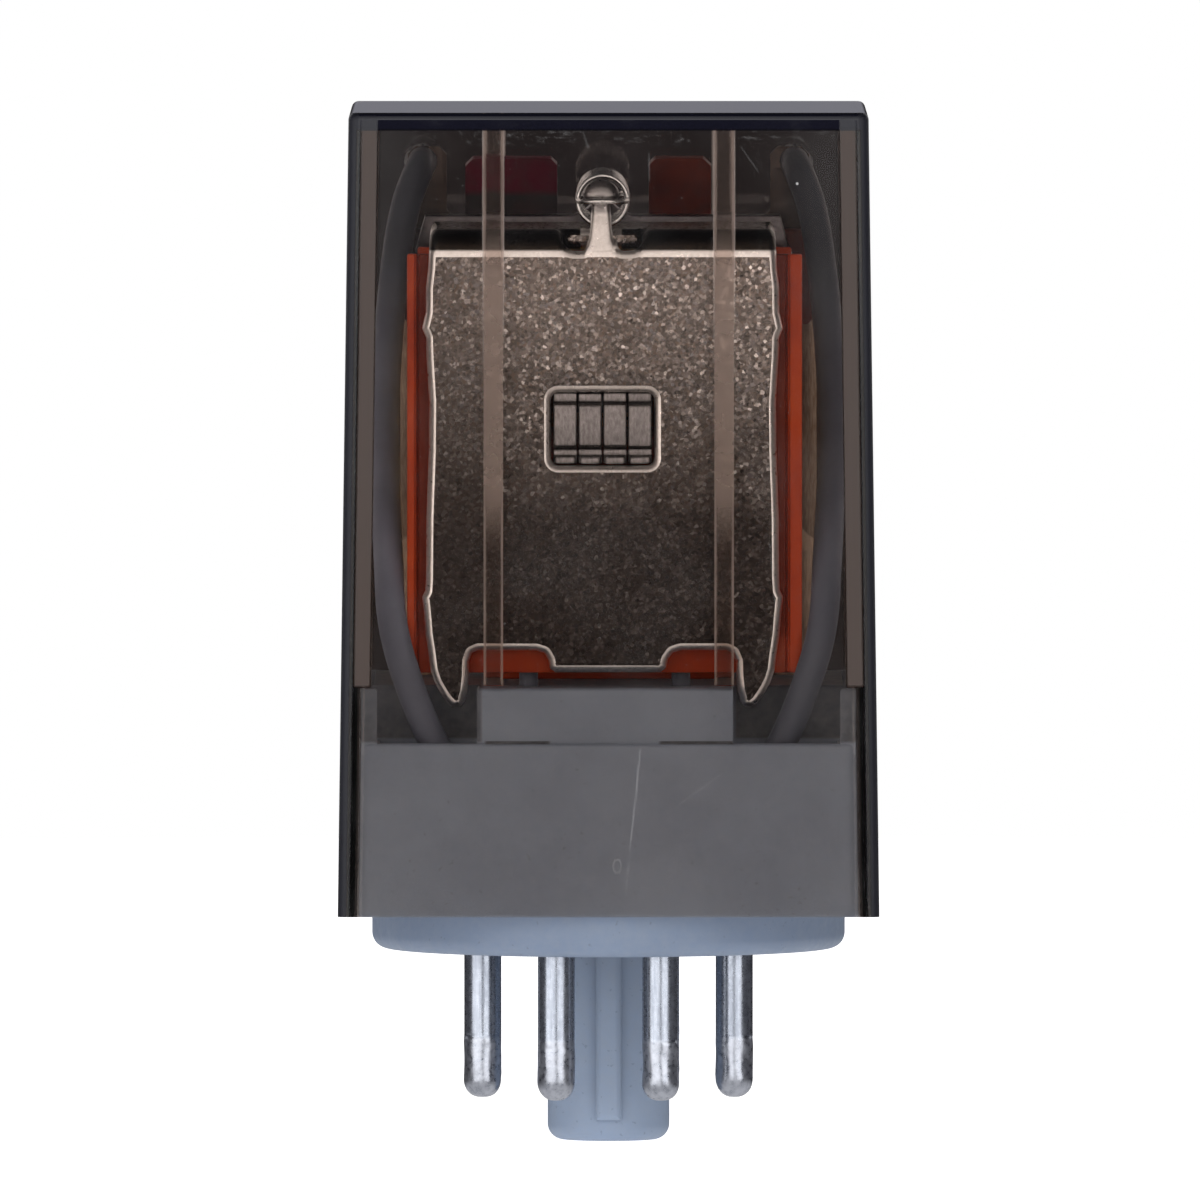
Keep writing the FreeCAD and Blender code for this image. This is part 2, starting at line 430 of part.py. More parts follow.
def along_y(obj, x, y, z, back=False):
    """Stands a turned piece on the Y axis: its own +Z points to +Y, or to -Y."""
    obj.Placement = FreeCAD.Placement(V(num(x), num(y), num(z)), FreeCAD.Rotation(V(1, 0, 0), 90 if back else -90))


def rivet(label, profile, moving, x, y, z, edges=None, back=False, hidden=False):
    body = doc.addObject("PartDesign::Body", label if not hidden else tag("rivet"))
    body.Label = body.Name if hidden else label
    revolve(body, profile)
    if edges:
        fillet(body, chosen(body.Tip, edges[0]), edges[1])
    along_y(body, x, y, z, back)
    if not hidden:
        PARTS[label] = body
        if moving:
            MOVING.add(label)
    return body


for side, s in (("left", "-"), ("right", "")):
    # double-headed contact through the blade
    rivet("moving_contact_" + side, [("0", "-contact_head"), ("contact_rad", "-contact_head"), ("contact_rad", "0"), ("0.7", "0"), ("0.7", "blade_thk"),
          ("contact_rad", "blade_thk"), ("contact_rad", "blade_thk+contact_head"), ("0", "blade_thk+contact_head")], True, s + "contact_x", bl0, "contact_z",
          (lambda b, e: (abs(b.ZMax - num("blade_thk+contact_head")) < 1e-3 and b.ZLength < 1e-3 and b.XLength > 2) or (abs(b.ZMin + num("contact_head")) < 1e-3 and b.ZLength < 1e-3 and b.XLength > 2), "0.35"))
    pair = [rivet("", [("0", "0"), ("0.6", "0"), ("0.6", "carrier_thk+blade_thk"), ("1.15", "carrier_thk+blade_thk"), ("1.15", "carrier_thk+blade_thk+0.5"), ("0", "carrier_thk+blade_thk+0.5")],
            True, s + "contact_x", car0, z, (lambda b, e: abs(b.ZMax - num("carrier_thk+blade_thk+0.5")) < 1e-3 and b.ZLength < 1e-3 and b.XLength > 1.5, "0.3"), hidden=True) for z in BLADE_RIVETS]
    group = doc.addObject("Part::Compound", "blade_rivets_" + side)
    group.Label = "blade_rivets_" + side
    group.Links = pair
    PARTS[group.Label] = group
    MOVING.add(group.Label)
pair = [rivet("", [("0", "0.02"), ("0.8", "0.02"), ("0.8", "arm_thk+carrier_thk"), ("1.5", "arm_thk+carrier_thk"), ("1.5", "arm_thk+carrier_thk+0.6"), ("0", "arm_thk+carrier_thk+0.6")],
        True, x, face, z, (lambda b, e: abs(b.ZMax - num("arm_thk+carrier_thk+0.6")) < 1e-3 and b.ZLength < 1e-3 and b.XLength > 2, "0.4"), hidden=True) for x, z in RIVETS]
group = doc.addObject("Part::Compound", "carrier_rivets")
group.Label = "carrier_rivets"
group.Links = pair
PARTS["carrier_rivets"] = group
MOVING.add("carrier_rivets")

# ------------------------------------------------------------------ fixed contact strips, each with a foot out to its pin
for side, s in (("left", "-"), ("right", "")):
    for kind in ("no", "nc"):
        strip = new_body("%s_strip_%s" % (kind, side))
        y0 = "no_face-fixed_head-strip_thk" if kind == "no" else "nc_face+fixed_head"
        y1 = y0 + "+strip_thk"
        P = [("blade_in", "foot_z"), ("blade_out", "foot_z"), ("blade_out", "strip_top-1.2"), ("blade_out-1.2", "strip_top"), ("blade_in+1.2", "strip_top"), ("blade_in", "strip_top-1.2")]
        pad(strip, "XZ_Plane", y0, y1, [[(s + a if "+" not in a and "-" not in a else s + "(%s)" % a, b) for a, b in P]])
        if kind == "no":
            foot = [("blade_in+2", y1), ("6.4", y1), ("6.4", "1.8"), ("9.7", "1.8"), ("9.7", "5.2"), ("blade_in+2", "5.2")]
        else:
            foot = [("blade_out", y1), ("1.8", y1), ("1.8", "6.5"), ("5.0", "6.5"), ("5.0", "9.6"), ("blade_out", "9.6")]
        pad(strip, "XY_Plane", "foot_z", "foot_z+strip_thk", [[(s + "(%s)" % a, b) for a, b in foot]])
        z = "contact_z" if kind == "no" else "contact_z+0.4"
        pocket(strip, "XZ_Plane", y0 + "-0.5", y1 + "+0.5", [("circle", s + "contact_x", z, "0.7")])
        rivet("%s_contact_%s" % (kind, side), [("0", "-fixed_head"), ("contact_rad", "-fixed_head"), ("contact_rad", "0"), ("0.7", "0"), ("0.7", "strip_thk"),
              ("1.1", "strip_thk"), ("1.1", "strip_thk+0.3"), ("0", "strip_thk+0.3")], False, s + "contact_x", y1 if kind == "no" else y0, z,
              (lambda b, e: abs(b.ZMin + num("fixed_head")) < 1e-3 and b.ZLength < 1e-3 and b.XLength > 2, "0.3"), back=(kind == "no"))


# ------------------------------------------------------------------ leads: straight runs joined by tangent arcs
def route(points):
    """A wire through the points with an arc at each inner one; prints the radii."""
    pts = [V(*p) for p in points]
    cuts = []
    radii = []
    for i in range(1, len(pts) - 1):
        a, b, c = pts[i - 1], pts[i], pts[i + 1]
        u, w = (a - b), (c - b)
        reach = 0.45 * min(u.Length, w.Length)
        turn = math.pi - u.getAngle(w)
        radii.append(reach / math.tan(turn / 2))
        u.normalize()
        w.normalize()
        p, q = b + u * reach, b + w * reach
        half_angle = turn / 2
        bis = (u + w)
        bis.normalize()
        centre = b + bis * (reach / math.sin(half_angle) if half_angle > 1e-9 else 0)
        mid = centre - bis * radii[-1]
        cuts.append((p, mid, q))
    edges = []
    at = pts[0]
    for p, mid, q in cuts:
        edges.append(Part.LineSegment(at, p).toShape())
        edges.append(Part.Arc(p, mid, q).toShape())
        at = q
    edges.append(Part.LineSegment(at, pts[-1]).toShape())
    return Part.Wire(edges), radii


def tube(points, radius):
    wire, radii = route(points)
    start = V(*points[0])
    along = V(*points[1]) - start
    ring = Part.Wire([Part.Circle(start, along, radius).toShape()])
    solid = wire.makePipeShell([ring], True, True, 0)
    expect = math.pi * radius ** 2 * wire.Length
    print("tube length %.1f volume %.2f of %.2f radii %s" % (wire.Length, solid.Volume, expect, ["%.1f" % r for r in radii]))
    return solid, wire.Length


LEAD = [(-11.95, 8.62, 50.2), (-12.1, 6.2, 49.95), (-13.2, 4.9, 47.2), (-13.95, 2.4, 41.5), (-14.35, -1.0, 35.5), (-14.3, -5.5, 30.2),
        (-14.05, -10.2, 25.3), (-13.85, -13.1, 21.0), (-12.6, -13.75, 17.0), (-11.1, -13.2, 13.4), (-8.9, -11.9, 10.4), (-5.2, -9.5, 8.6),
        (-3.339, -8.061, 7.4), (-3.339, -8.061, num("pin_head_top"))]
COIL = [(-5.1, -10.6, 22.75), (-5.1, -10.6, 13.0), (-8.061, -3.339, 12.0), (-8.061, -3.339, num("pin_head_top"))]
channels = []
for side, s in (("left", 1), ("right", -1)):
    pts = [(s * x, y, z) for x, y, z in LEAD]
    if s < 0:
        pts = [(x - 0.1 if 5 < i < 10 else x, y, z) for i, (x, y, z) in enumerate(pts)]
    solid, length = tube(pts, num("lead_rad"))
    free_solid("flexible_lead_" + side, solid)
    solid, length = tube(pts, num("lead_rad+channel_gap"))
    channels.append(free_solid("lead_channel_" + side, solid, keep=False))
    pts = [(s * x if i > 1 else (x if s > 0 else 4.62), y, z) for i, (x, y, z) in enumerate(COIL)]
    solid, length = tube(pts, num("coil_lead_rad"))
    free_solid("coil_lead_" + side, solid)
    solid, length = tube(pts, num("coil_lead_rad+channel_gap"))
    channels.append(free_solid("coil_channel_" + side, solid, keep=False))

# ------------------------------------------------------------------ return spring: coil with a half loop at each end
pitch = num("(spring_rear-spring_front)/spring_turns")
helix = Part.makeHelix(pitch, num("spring_rear-spring_front"), num("spring_rad"))
circle = Part.Wire([Part.Circle(V(num("spring_rad"), 0, 0), V(0, 1, pitch / (2 * math.pi * num("spring_rad"))), num("wire_rad")).toShape()])
coil = Part.Wire(helix).makePipeShell([circle], True, True)
coil.rotate(V(0, 0, 0), V(1, 0, 0), -90)
coil.translate(V(num("mech_x"), num("spring_front"), num("spring_z")))


def half_loop(y_coil, y_centre, sign, side):
    """The joined leg starts inside the coil's end on one side; the other leg stops just clear of the coil."""
    r, w = num("spring_rad"), num("wire_rad")
    x, z = num("mech_x"), num("spring_z")
    a = V(x + side * r, y_coil - sign * 0.12, z)
    b = V(x + side * r, y_centre, z)
    c = V(x, y_centre + sign * r, z)
    d = V(x - side * r, y_centre, z)
    e = V(x - side * r, y_coil + sign * 0.05, z)
    wire = Part.Wire([Part.LineSegment(a, b).toShape(), Part.Arc(b, c, d).toShape(), Part.LineSegment(d, e).toShape()])
    ring = Part.Wire([Part.Circle(a, b - a, w).toShape()])
    return wire.makePipeShell([ring], True, True, 0)


loops = [half_loop(num("spring_front"), -12.56, -1, 1), half_loop(num("spring_rear"), 6.12, 1, -1)]
for y, side in ((num("spring_front"), 1), (num("spring_rear"), -1)):
    loops.append(Part.makeSphere(num("wire_rad") * 1.06, V(num("mech_x") + side * num("spring_rad"), y, num("spring_z"))))
spring = coil.multiFuse(loops)
print("spring solids", len(spring.Solids), "valid", spring.isValid(), "volume", spring.Volume, "coil", coil.Volume)
free_solid("return_spring", spring.Solids[0] if len(spring.Solids) == 1 else spring)

doc.recompute()

# the armature and all it carries, swung open to where the spring holds them
swing = FreeCAD.Placement(V(0, 0, 0), FreeCAD.Rotation(V(1, 0, 0), num("open_angle")), V(0, num(face), num("hinge_z")))
for label in sorted(MOVING):
    PARTS[label].Placement = swing.multiply(PARTS[label].Placement)

# plug base: moulded round the pins and strip feet, with channels for the leads
inserts = [PARTS["pin_%d" % k] for k in range(1, 9)] + [PARTS["%s_strip_%s" % (k, s)] for k in ("no", "nc") for s in ("left", "right")] + channels
gang = doc.addObject("Part::MultiFuse", "inserts")
gang.Shapes = inserts
gang.Refine = False
plug = doc.addObject("Part::Cut", "plug_base")
plug.Label = "plug_base"
plug.Base = blank
plug.Tool = gang
plug.Refine = False
PARTS["plug_base"] = plug
doc.recompute()

# ------------------------------------------------------------------ checks and files
bad = [o.Name + " " + str(o.State) for o in doc.Objects if "Invalid" in o.State or "Error" in o.State]
for label, obj in PARTS.items():
    shape = obj.Shape
    if shape.isNull() or not shape.isValid() or not shape.Solids:
        bad.append(label + " has no valid shape")
if bad:
    raise SystemExit("failed: " + "; ".join(bad))
os.makedirs("parts", exist_ok=True)
for label, obj in sorted(PARTS.items()):
    obj.Shape.exportStep("parts/%s.step" % label)
print(len(PARTS), "parts written;", {k: len(o.Shape.Solids) for k, o in PARTS.items() if len(o.Shape.Solids) != 1})
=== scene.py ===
import math
import random
import bpy
import bmesh
from mathutils import Vector, Matrix, noise


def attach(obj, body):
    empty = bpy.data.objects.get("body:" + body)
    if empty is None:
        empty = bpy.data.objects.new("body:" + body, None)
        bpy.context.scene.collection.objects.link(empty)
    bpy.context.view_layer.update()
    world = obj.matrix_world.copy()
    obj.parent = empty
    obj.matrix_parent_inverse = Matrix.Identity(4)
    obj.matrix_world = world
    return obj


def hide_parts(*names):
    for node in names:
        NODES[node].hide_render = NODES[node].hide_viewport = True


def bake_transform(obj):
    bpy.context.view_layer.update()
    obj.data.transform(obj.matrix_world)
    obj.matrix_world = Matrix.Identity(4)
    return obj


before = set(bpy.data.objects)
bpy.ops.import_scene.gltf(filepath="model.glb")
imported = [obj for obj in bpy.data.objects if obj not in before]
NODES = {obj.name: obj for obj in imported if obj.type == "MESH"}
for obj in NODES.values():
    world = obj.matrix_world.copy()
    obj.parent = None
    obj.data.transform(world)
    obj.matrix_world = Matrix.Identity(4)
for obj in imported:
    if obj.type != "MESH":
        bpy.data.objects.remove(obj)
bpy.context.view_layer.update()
ROOT, ARM = "relay_body", "armature_unit"
scene = bpy.context.scene
MM = 0.001
MX = -0.38  # the mechanism's centre line, mm


# ------------------------------------------------------------------ materials
class Mat:
    """A procedural material; lengths inside it are millimetres in the part's frame."""

    def __init__(self, name):
        self.m = bpy.data.materials.new(name)
        self.m.use_nodes = True
        self.nt = self.m.node_tree
        self.nt.nodes.clear()
        self.out = self.node("ShaderNodeOutputMaterial")
        self.b = self.node("ShaderNodeBsdfPrincipled")
        self.join(self.b.outputs[0], self.out.inputs["Surface"])
        tc = self.node("ShaderNodeTexCoord")
        mp = self.node("ShaderNodeMapping")
        mp.inputs["Scale"].default_value = (1000, 1000, 1000)
        self.join(tc.outputs["Object"], mp.inputs[0])
        self.mm = mp.outputs[0]
        self._xyz = None

    def node(self, kind, **props):
        n = self.nt.nodes.new(kind)
        for k, v in props.items():
            setattr(n, k, v)
        return n

    def join(self, a, b):
        self.nt.links.new(a, b)

    def put(self, socket, value):
        s = self.b.inputs[socket]
        if hasattr(value, "is_output") or isinstance(value, bpy.types.NodeSocket):
            self.join(value, s)
        else:
            s.default_value = value
        return self

    def xyz(self):
        if self._xyz is None:
            n = self.node("ShaderNodeSeparateXYZ")
            self.join(self.mm, n.inputs[0])
            self._xyz = n.outputs
        return self._xyz

    def scaled(self, x, y, z, vec=None):
        n = self.node("ShaderNodeMapping")
        n.inputs["Scale"].default_value = (x, y, z)
        self.join(vec or self.mm, n.inputs[0])
        return n.outputs[0]

    def noise(self, scale, detail=3.0, rough=0.5, vec=None, distortion=0.0):
        n = self.node("ShaderNodeTexNoise")
        n.inputs["Scale"].default_value = scale
        n.inputs["Detail"].default_value = detail
        n.inputs["Roughness"].default_value = rough
        n.inputs["Distortion"].default_value = distortion
        self.join(vec or self.mm, n.inputs["Vector"])
        return n.outputs["Fac"]

    def voronoi(self, scale, vec=None, feature="F1", out="Distance", randomness=1.0):
        n = self.node("ShaderNodeTexVoronoi", feature=feature)
        n.inputs["Scale"].default_value = scale
        n.inputs["Randomness"].default_value = randomness
        self.join(vec or self.mm, n.inputs["Vector"])
        return n.outputs[out]

    def ramp(self, fac, stops, interpolation="LINEAR"):
        n = self.node("ShaderNodeValToRGB")
        n.color_ramp.interpolation = interpolation
        e = n.color_ramp.elements
        while len(e) > 2:
            e.remove(e[-1])
        for i, (p, c) in enumerate(stops):
            el = e[i] if i < 2 else e.new(p)
            el.position = p
            el.color = (*c, 1.0) if len(c) == 3 else c
        self.join(fac, n.inputs[0])
        return n.outputs[0]

    def remap(self, fac, a, b, c, d, smooth=False):
        n = self.node("ShaderNodeMapRange")
        n.interpolation_type = "SMOOTHSTEP" if smooth else "LINEAR"
        for i, v in enumerate((a, b, c, d), start=1):
            n.inputs[i].default_value = v
        self.join(fac, n.inputs[0])
        return n.outputs[0]

    def math(self, op, a, b=0.0, c=0.0, clamp=False):
        n = self.node("ShaderNodeMath", operation=op, use_clamp=clamp)
        for i, v in enumerate((a, b, c)):
            if isinstance(v, (int, float)):
                n.inputs[i].default_value = v
            else:
                self.join(v, n.inputs[i])
        return n.outputs[0]

    def mix(self, fac, a, b, blend="MIX"):
        n = self.node("ShaderNodeMix", data_type="RGBA", blend_type=blend)
        for i, v in ((0, fac), (6, a), (7, b)):
            if isinstance(v, (int, float)):
                n.inputs[i].default_value = v
            elif isinstance(v, tuple):
                n.inputs[i].default_value = (*v, 1.0)
            else:
                self.join(v, n.inputs[i])
        return n.outputs[2]

    def bump(self, height, strength, distance_mm, normal=None):
        n = self.node("ShaderNodeBump")
        n.inputs["Strength"].default_value = strength
        n.inputs["Distance"].default_value = distance_mm * MM
        self.join(height, n.inputs["Height"])
        if normal is not None:
            self.join(normal, n.inputs["Normal"])
        return n.outputs[0]

    def near(self, value, centre, half, soft):
        """1 where value is within half of centre, falling to 0 over soft."""
        d = self.math("ABSOLUTE", self.math("SUBTRACT", value, centre))
        return self.remap(d, half, half + soft, 1.0, 0.0, True)


def plastic(name, colour, dark, light, rough=0.42, grain=6.0, bump=0.12):
    k = Mat(name)
    big = k.noise(0.22, 4, 0.6)
    fine = k.noise(grain, 4, 0.6)
    c = k.ramp(big, [(0.3, dark), (0.55, colour), (0.75, light)])
    c = k.mix(k.remap(fine, 0.3, 0.7, 0.0, 0.22), c, tuple(v * 0.72 for v in colour))
    k.put("Base Color", c)
    k.put("Roughness", k.remap(k.noise(1.3, 5, 0.65), 0.3, 0.7, rough - 0.09, rough + 0.12))
    k.put("Normal", k.bump(fine, bump, 0.02))
    k.b.inputs["IOR"].default_value = 1.5
    return k


def metal(name, dark, light, rough=0.3, spread=0.12, grain=7.0, bump=0.25, stretch=(1, 1, 1), depth=0.012):
    k = Mat(name)
    v = k.scaled(*stretch)
    g = k.noise(grain, 3, 0.6, v)
    big = k.noise(0.35, 4, 0.6)
    c = k.ramp(g, [(0.32, dark), (0.68, light)])
    c = k.mix(k.remap(big, 0.35, 0.7, 0.0, 0.35), c, tuple(x * 0.78 for x in dark))
    k.put("Base Color", c)
    k.put("Metallic", 1.0)
    k.put("Roughness", k.remap(k.noise(2.2, 5, 0.6), 0.3, 0.7, rough - spread / 2, rough + spread))
    k.put("Normal", k.bump(g, bump, depth))
    return k


def make_materials():
    M = {}
    # blue-grey moulded base: faint flow marks, fine matt texture
    k = plastic("base_moulding", (0.192, 0.232, 0.297), (0.165, 0.20, 0.26), (0.215, 0.258, 0.327), 0.46, 9.0, 0.10)
    # painted shade and light: the disc standing out below the cover is made darker and the spigot under it lighter;
    # fine scuffs, and a thin painted shadow line in front of the raised block
    face = k.b.inputs["Base Color"].links[0].from_socket
    x, y, z = k.xyz()["X"], k.xyz()["Y"], k.xyz()["Z"]
    out_of_cover = k.remap(z, 2.6, 2.75, 1.0, 0.0)
    c = k.mix(k.math("MULTIPLY", out_of_cover, 0.5), face, k.mix(k.remap(z, -0.6, 0.0, 0.0, 1.0), (0.26, 0.335, 0.475), (0.14, 0.195, 0.31)))
    # painted shadow: a thin dark line along the foot of the raised block, where it meets the skirt
    line = k.math("MULTIPLY", k.near(z, 13.76, 0.07, 0.05), k.math("MAXIMUM", k.near(x, -5.8, 1.9, 0.3), k.near(x, 5.6, 2.2, 0.3)))
    line = k.math("MULTIPLY", line, k.remap(y, -14.6, -14.5, 0.9, 0.0))
    c = k.mix(line, c, (0.012, 0.012, 0.014))
    # painted shade inside the wells either side of the raised block, darkest low down
    well = k.math("MULTIPLY", k.remap(z, 13.7, 13.9, 0.0, 1.0), k.remap(k.math("ABSOLUTE", x), 8.0, 8.2, 0.0, 1.0))
    c = k.mix(k.math("MULTIPLY", well, k.remap(z, 14.0, 18.5, 0.86, 0.6)), c, (0.03, 0.032, 0.04))
    c = k.mix(k.remap(k.noise(1.5, 5, 0.7), 0.35, 0.75, 0.0, 0.3), c, (0.24, 0.265, 0.30))
    specks = k.remap(k.noise(3.2, 2, 0.4), 0.7, 0.74, 0.0, 0.4)
    k.put("Base Color", k.mix(specks, c, (0.10, 0.12, 0.15)))
    M["base"] = k.m
    # plated plate: every grain of the blasted surface is its own tiny facet
    k = Mat("plated_plate")
    cell = k.voronoi(5.2, out="Color")
    tiny = k.voronoi(11.0, out="Color")
    facet = k.node("ShaderNodeMix", data_type="RGBA", blend_type="MIX")
    facet.inputs[0].default_value = 0.35
    k.join(cell, facet.inputs[6])
    k.join(tiny, facet.inputs[7])
    push = k.node("ShaderNodeVectorMath", operation="MULTIPLY_ADD")
    push.inputs[1].default_value = (0.34, 0.34, 0.34)
    push.inputs[2].default_value = (-0.17, -0.17, -0.17)
    k.join(facet.outputs[2], push.inputs[0])
    geo = k.node("ShaderNodeNewGeometry")
    tilt = k.node("ShaderNodeVectorMath", operation="ADD")
    k.join(geo.outputs["Normal"], tilt.inputs[0])
    k.join(push.outputs[0], tilt.inputs[1])
    unit = k.node("ShaderNodeVectorMath", operation="NORMALIZE")
    k.join(tilt.outputs[0], unit.inputs[0])
    grey = k.node("ShaderNodeSeparateColor")
    k.join(cell, grey.inputs[0])
    g2 = k.noise(7.5, 3, 0.6)
    c = k.ramp(grey.outputs[0], [(0.0, (0.13, 0.112, 0.10)), (0.5, (0.185, 0.16, 0.145)), (0.8, (0.27, 0.235, 0.215)), (0.95, (0.5, 0.45, 0.42)), (1.0, (0.8, 0.75, 0.71))])
    c = k.mix(k.remap(grey.outputs[1], 0.7, 1.0, 0.0, 0.3), c, (0.42, 0.29, 0.21))
    c = k.mix(k.remap(grey.outputs[2], 0.8, 1.0, 0.0, 0.25), c, (0.28, 0.31, 0.37))
    cloud = k.noise(0.28, 4, 0.6)
    c = k.mix(k.remap(cloud, 0.35, 0.7, 0.0, 0.3), c, (0.10, 0.085, 0.078))
    # painted shade: the plate is made darker towards the foot and down the left side, where less light falls
    x, z = k.xyz()["X"], k.xyz()["Z"]
    low = k.ramp(k.remap(k.math("ADD", z, k.remap(cloud, 0.3, 0.7, -1.5, 1.5)), 16.0, 44.0, 0.0, 1.0),
                 [(0.0, (0.92, 0.92, 0.92)), (0.4, (0.87, 0.87, 0.87)), (0.58, (0.62, 0.62, 0.62)), (0.75, (0.26, 0.26, 0.26)), (0.95, (0.0, 0.0, 0.0))])
    c = k.mix(low, c, (0.014, 0.011, 0.0105))
    c = k.mix(k.remap(x, -11.0, -4.5, 0.36, 0.0, True), c, (0.03, 0.025, 0.023))
    k.put("Base Color", c)
    k.put("Metallic", 1.0)
    k.put("Roughness", k.remap(grey.outputs[1], 0.0, 1.0, 0.2, 0.42))
    k.put("Normal", k.bump(g2, 0.35, 0.03, unit.outputs[0]))
    M["plate"] = k.m
    # the sheared, rolled-over edge of the same plate: smoother, and made brighter than the plate as a painted highlight
    # along the rolls
    k = metal("plated_edge", (0.80, 0.765, 0.735), (0.96, 0.93, 0.905), 0.3, 0.1, 5.0, 0.15, (1, 1, 1), 0.02)
    # painted dark reflection: round the fold, where the metal faces the dark above, the edge is made brown-black
    face = k.b.inputs["Base Color"].links[0].from_socket
    x, y, z = k.xyz()["X"], k.xyz()["Y"], k.xyz()["Z"]
    fold = k.math("MULTIPLY", k.remap(z, 44.98, 45.16, 0.0, 1.0, True), k.math("SUBTRACT", 1.0, k.near(x, MX - 0.1, 1.25, 0.12)))
    fold = k.math("MULTIPLY", fold, k.remap(y, -10.3, -9.9, 1.0, 0.0))
    c = k.mix(fold, face, k.ramp(k.remap(z, 45.2, 46.4, 0.0, 1.0), [(0.0, (0.032, 0.025, 0.019)), (0.5, (0.016, 0.0125, 0.010)), (0.8, (0.007, 0.0055, 0.0055)), (1.0, (0.004, 0.0035, 0.0035))]))
    # painted shade down the right side of the tab's stem
    shade = k.math("MULTIPLY", k.remap(x, MX + 0.2, MX + 0.75, 0.0, 0.6, True), k.math("MULTIPLY", k.near(x, MX - 0.1, 1.3, 0.1), k.remap(z, 45.2, 45.6, 0.0, 1.0)))
    c = k.mix(shade, c, (0.06, 0.05, 0.05))
    # the coined head is made darker than its stem
    head = k.math("MULTIPLY", k.remap(z, 47.25, 47.6, 0.0, 0.72, True), k.remap(y, -11.4, -11.0, 1.0, 0.0))
    k.put("Base Color", k.mix(head, c, (0.10, 0.095, 0.10)))
    M["plate_edge"] = k.m
    k = metal("bare_core", (0.22, 0.205, 0.205), (0.42, 0.40, 0.40), 0.4, 0.14, 6.0, 0.3, (1, 1, 0.35), 0.02)
    k.b.inputs["Metallic"].default_value = 0.7
    M["core"] = k.m
    # painted shade: the laminations behind their cleaned front ends are near black, so the slits between the ends read
    # as shaded gaps
    k = metal("dark_core_painted_shade", (0.04, 0.038, 0.038), (0.10, 0.095, 0.092), 0.5, 0.14, 8.0, 0.35, (1, 1, 0.18), 0.02)
    M["core_dark"] = k.m
    k = metal("plated_armature", (0.36, 0.335, 0.33), (0.60, 0.57, 0.56), 0.32, 0.12, 5.0, 0.3)
    # painted shade and light: the side towards the coil, with most of the top edge, is made dark, and the back face
    # left light
    face = k.b.inputs["Base Color"].links[0].from_socket
    k.put("Base Color", k.mix(k.remap(k.xyz()["Y"], 6.9, 7.2, 0.86, 0.0, True), face, (0.055, 0.05, 0.056)))
    M["armature"] = k.m
    k = metal("spring_steel", (0.55, 0.55, 0.55), (0.82, 0.82, 0.81), 0.2, 0.08, 10.0, 0.1)
    M["spring"] = k.m
    # the bronze is given darker than the bare metal, as painted shade for the poorly lit back of the relay
    k = metal("bronze_strip", (0.17, 0.12, 0.088), (0.31, 0.235, 0.175), 0.34, 0.1, 3.0, 0.15, (4, 4, 0.25))
    # painted shade: darker still near the roof, round the soldered lugs, where little light reaches
    face = k.b.inputs["Base Color"].links[0].from_socket
    k.put("Base Color", k.mix(k.remap(k.xyz()["Z"], 44.0, 47.0, 0.0, 0.93, True), face, (0.035, 0.028, 0.026)))
    M["strip"] = k.m
    k = metal("contact_alloy", (0.66, 0.65, 0.62), (0.9, 0.89, 0.86), 0.24, 0.12, 4.0, 0.2)
    M["contact"] = k.m
    k = metal("rivet_plating", (0.55, 0.54, 0.53), (0.8, 0.79, 0.77), 0.26, 0.1, 6.0, 0.25)
    M["rivet"] = k.m
    k = metal("bare_copper", (0.55, 0.24, 0.13), (0.86, 0.46, 0.3), 0.3, 0.12, 5.0, 0.2)
    M["copper"] = k.m
    # orange-red nylon
    k = plastic("bobbin_nylon", (0.52, 0.062, 0.012), (0.40, 0.042, 0.009), (0.60, 0.085, 0.018), 0.38, 7.0, 0.12)
    k.b.inputs["Specular IOR Level"].default_value = 0.14
    # painted shade: the flange face inside its rim, in the yoke's shade, is made darker, down into the notches
    face = k.b.inputs["Base Color"].links[0].from_socket
    x, y, z = k.xyz()["X"], k.xyz()["Y"], k.xyz()["Z"]
    shade = k.math("MULTIPLY", k.near(x, -0.41, 11.83, 0.06), k.remap(y, -11.0, -10.9, 1.0, 0.0))
    shade = k.math("MULTIPLY", shade, k.remap(z, 19.9, 21.2, 0.5, 0.8, True))
    k.put("Base Color", k.mix(shade, face, (0.07, 0.008, 0.004)))
    M["bobbin"] = k.m
    k = plastic("carrier_nylon", (0.13, 0.02, 0.009), (0.085, 0.013, 0.008), (0.165, 0.028, 0.012), 0.45, 6.0, 0.14)
    k.b.inputs["Specular IOR Level"].default_value = 0.14
    # the wider horn is a deeper crimson above and dark grey below; the carrier's body is browner
    face = k.b.inputs["Base Color"].links[0].from_socket
    x, z = k.xyz()["X"], k.xyz()["Z"]
    left = k.remap(x, -2.4, -2.0, 1.0, 0.0)
    high = k.remap(z, 47.9, 48.5, 0.0, 1.0, True)
    c = k.mix(left, face, k.mix(high, (0.03, 0.024, 0.026), (0.10, 0.002, 0.018)))
    k.put("Base Color", k.mix(k.remap(k.noise(0.8, 4), 0.4, 0.7, 0.0, 0.5), c, (0.06, 0.03, 0.03)))
    M["carrier"] = k.m
    # blue-grey soft sleeve with a slight dusty bloom
    k = plastic("lead_sleeve", (0.215, 0.235, 0.305), (0.175, 0.193, 0.255), (0.255, 0.28, 0.355), 0.5, 11.0, 0.16)
    # painted shade: darker towards both ends, low in the base and up under the roof, where the leads lie in shade; the
    # right lead is darker all along
    k.b.inputs["Specular IOR Level"].default_value = 0.2
    face = k.b.inputs["Base Color"].links[0].from_socket
    face = k.mix(k.remap(k.xyz()["X"], -2.0, 2.0, 0.0, 0.45), face, (0.07, 0.077, 0.10))
    face = k.mix(k.remap(k.xyz()["Z"], 17.0, 27.0, 0.6, 0.0, True), face, (0.06, 0.066, 0.08))
    k.put("Base Color", k.mix(k.remap(k.xyz()["Z"], 36.0, 46.0, 0.0, 0.86, True), face, (0.022, 0.022, 0.03)))
    M["sleeve"] = k.m
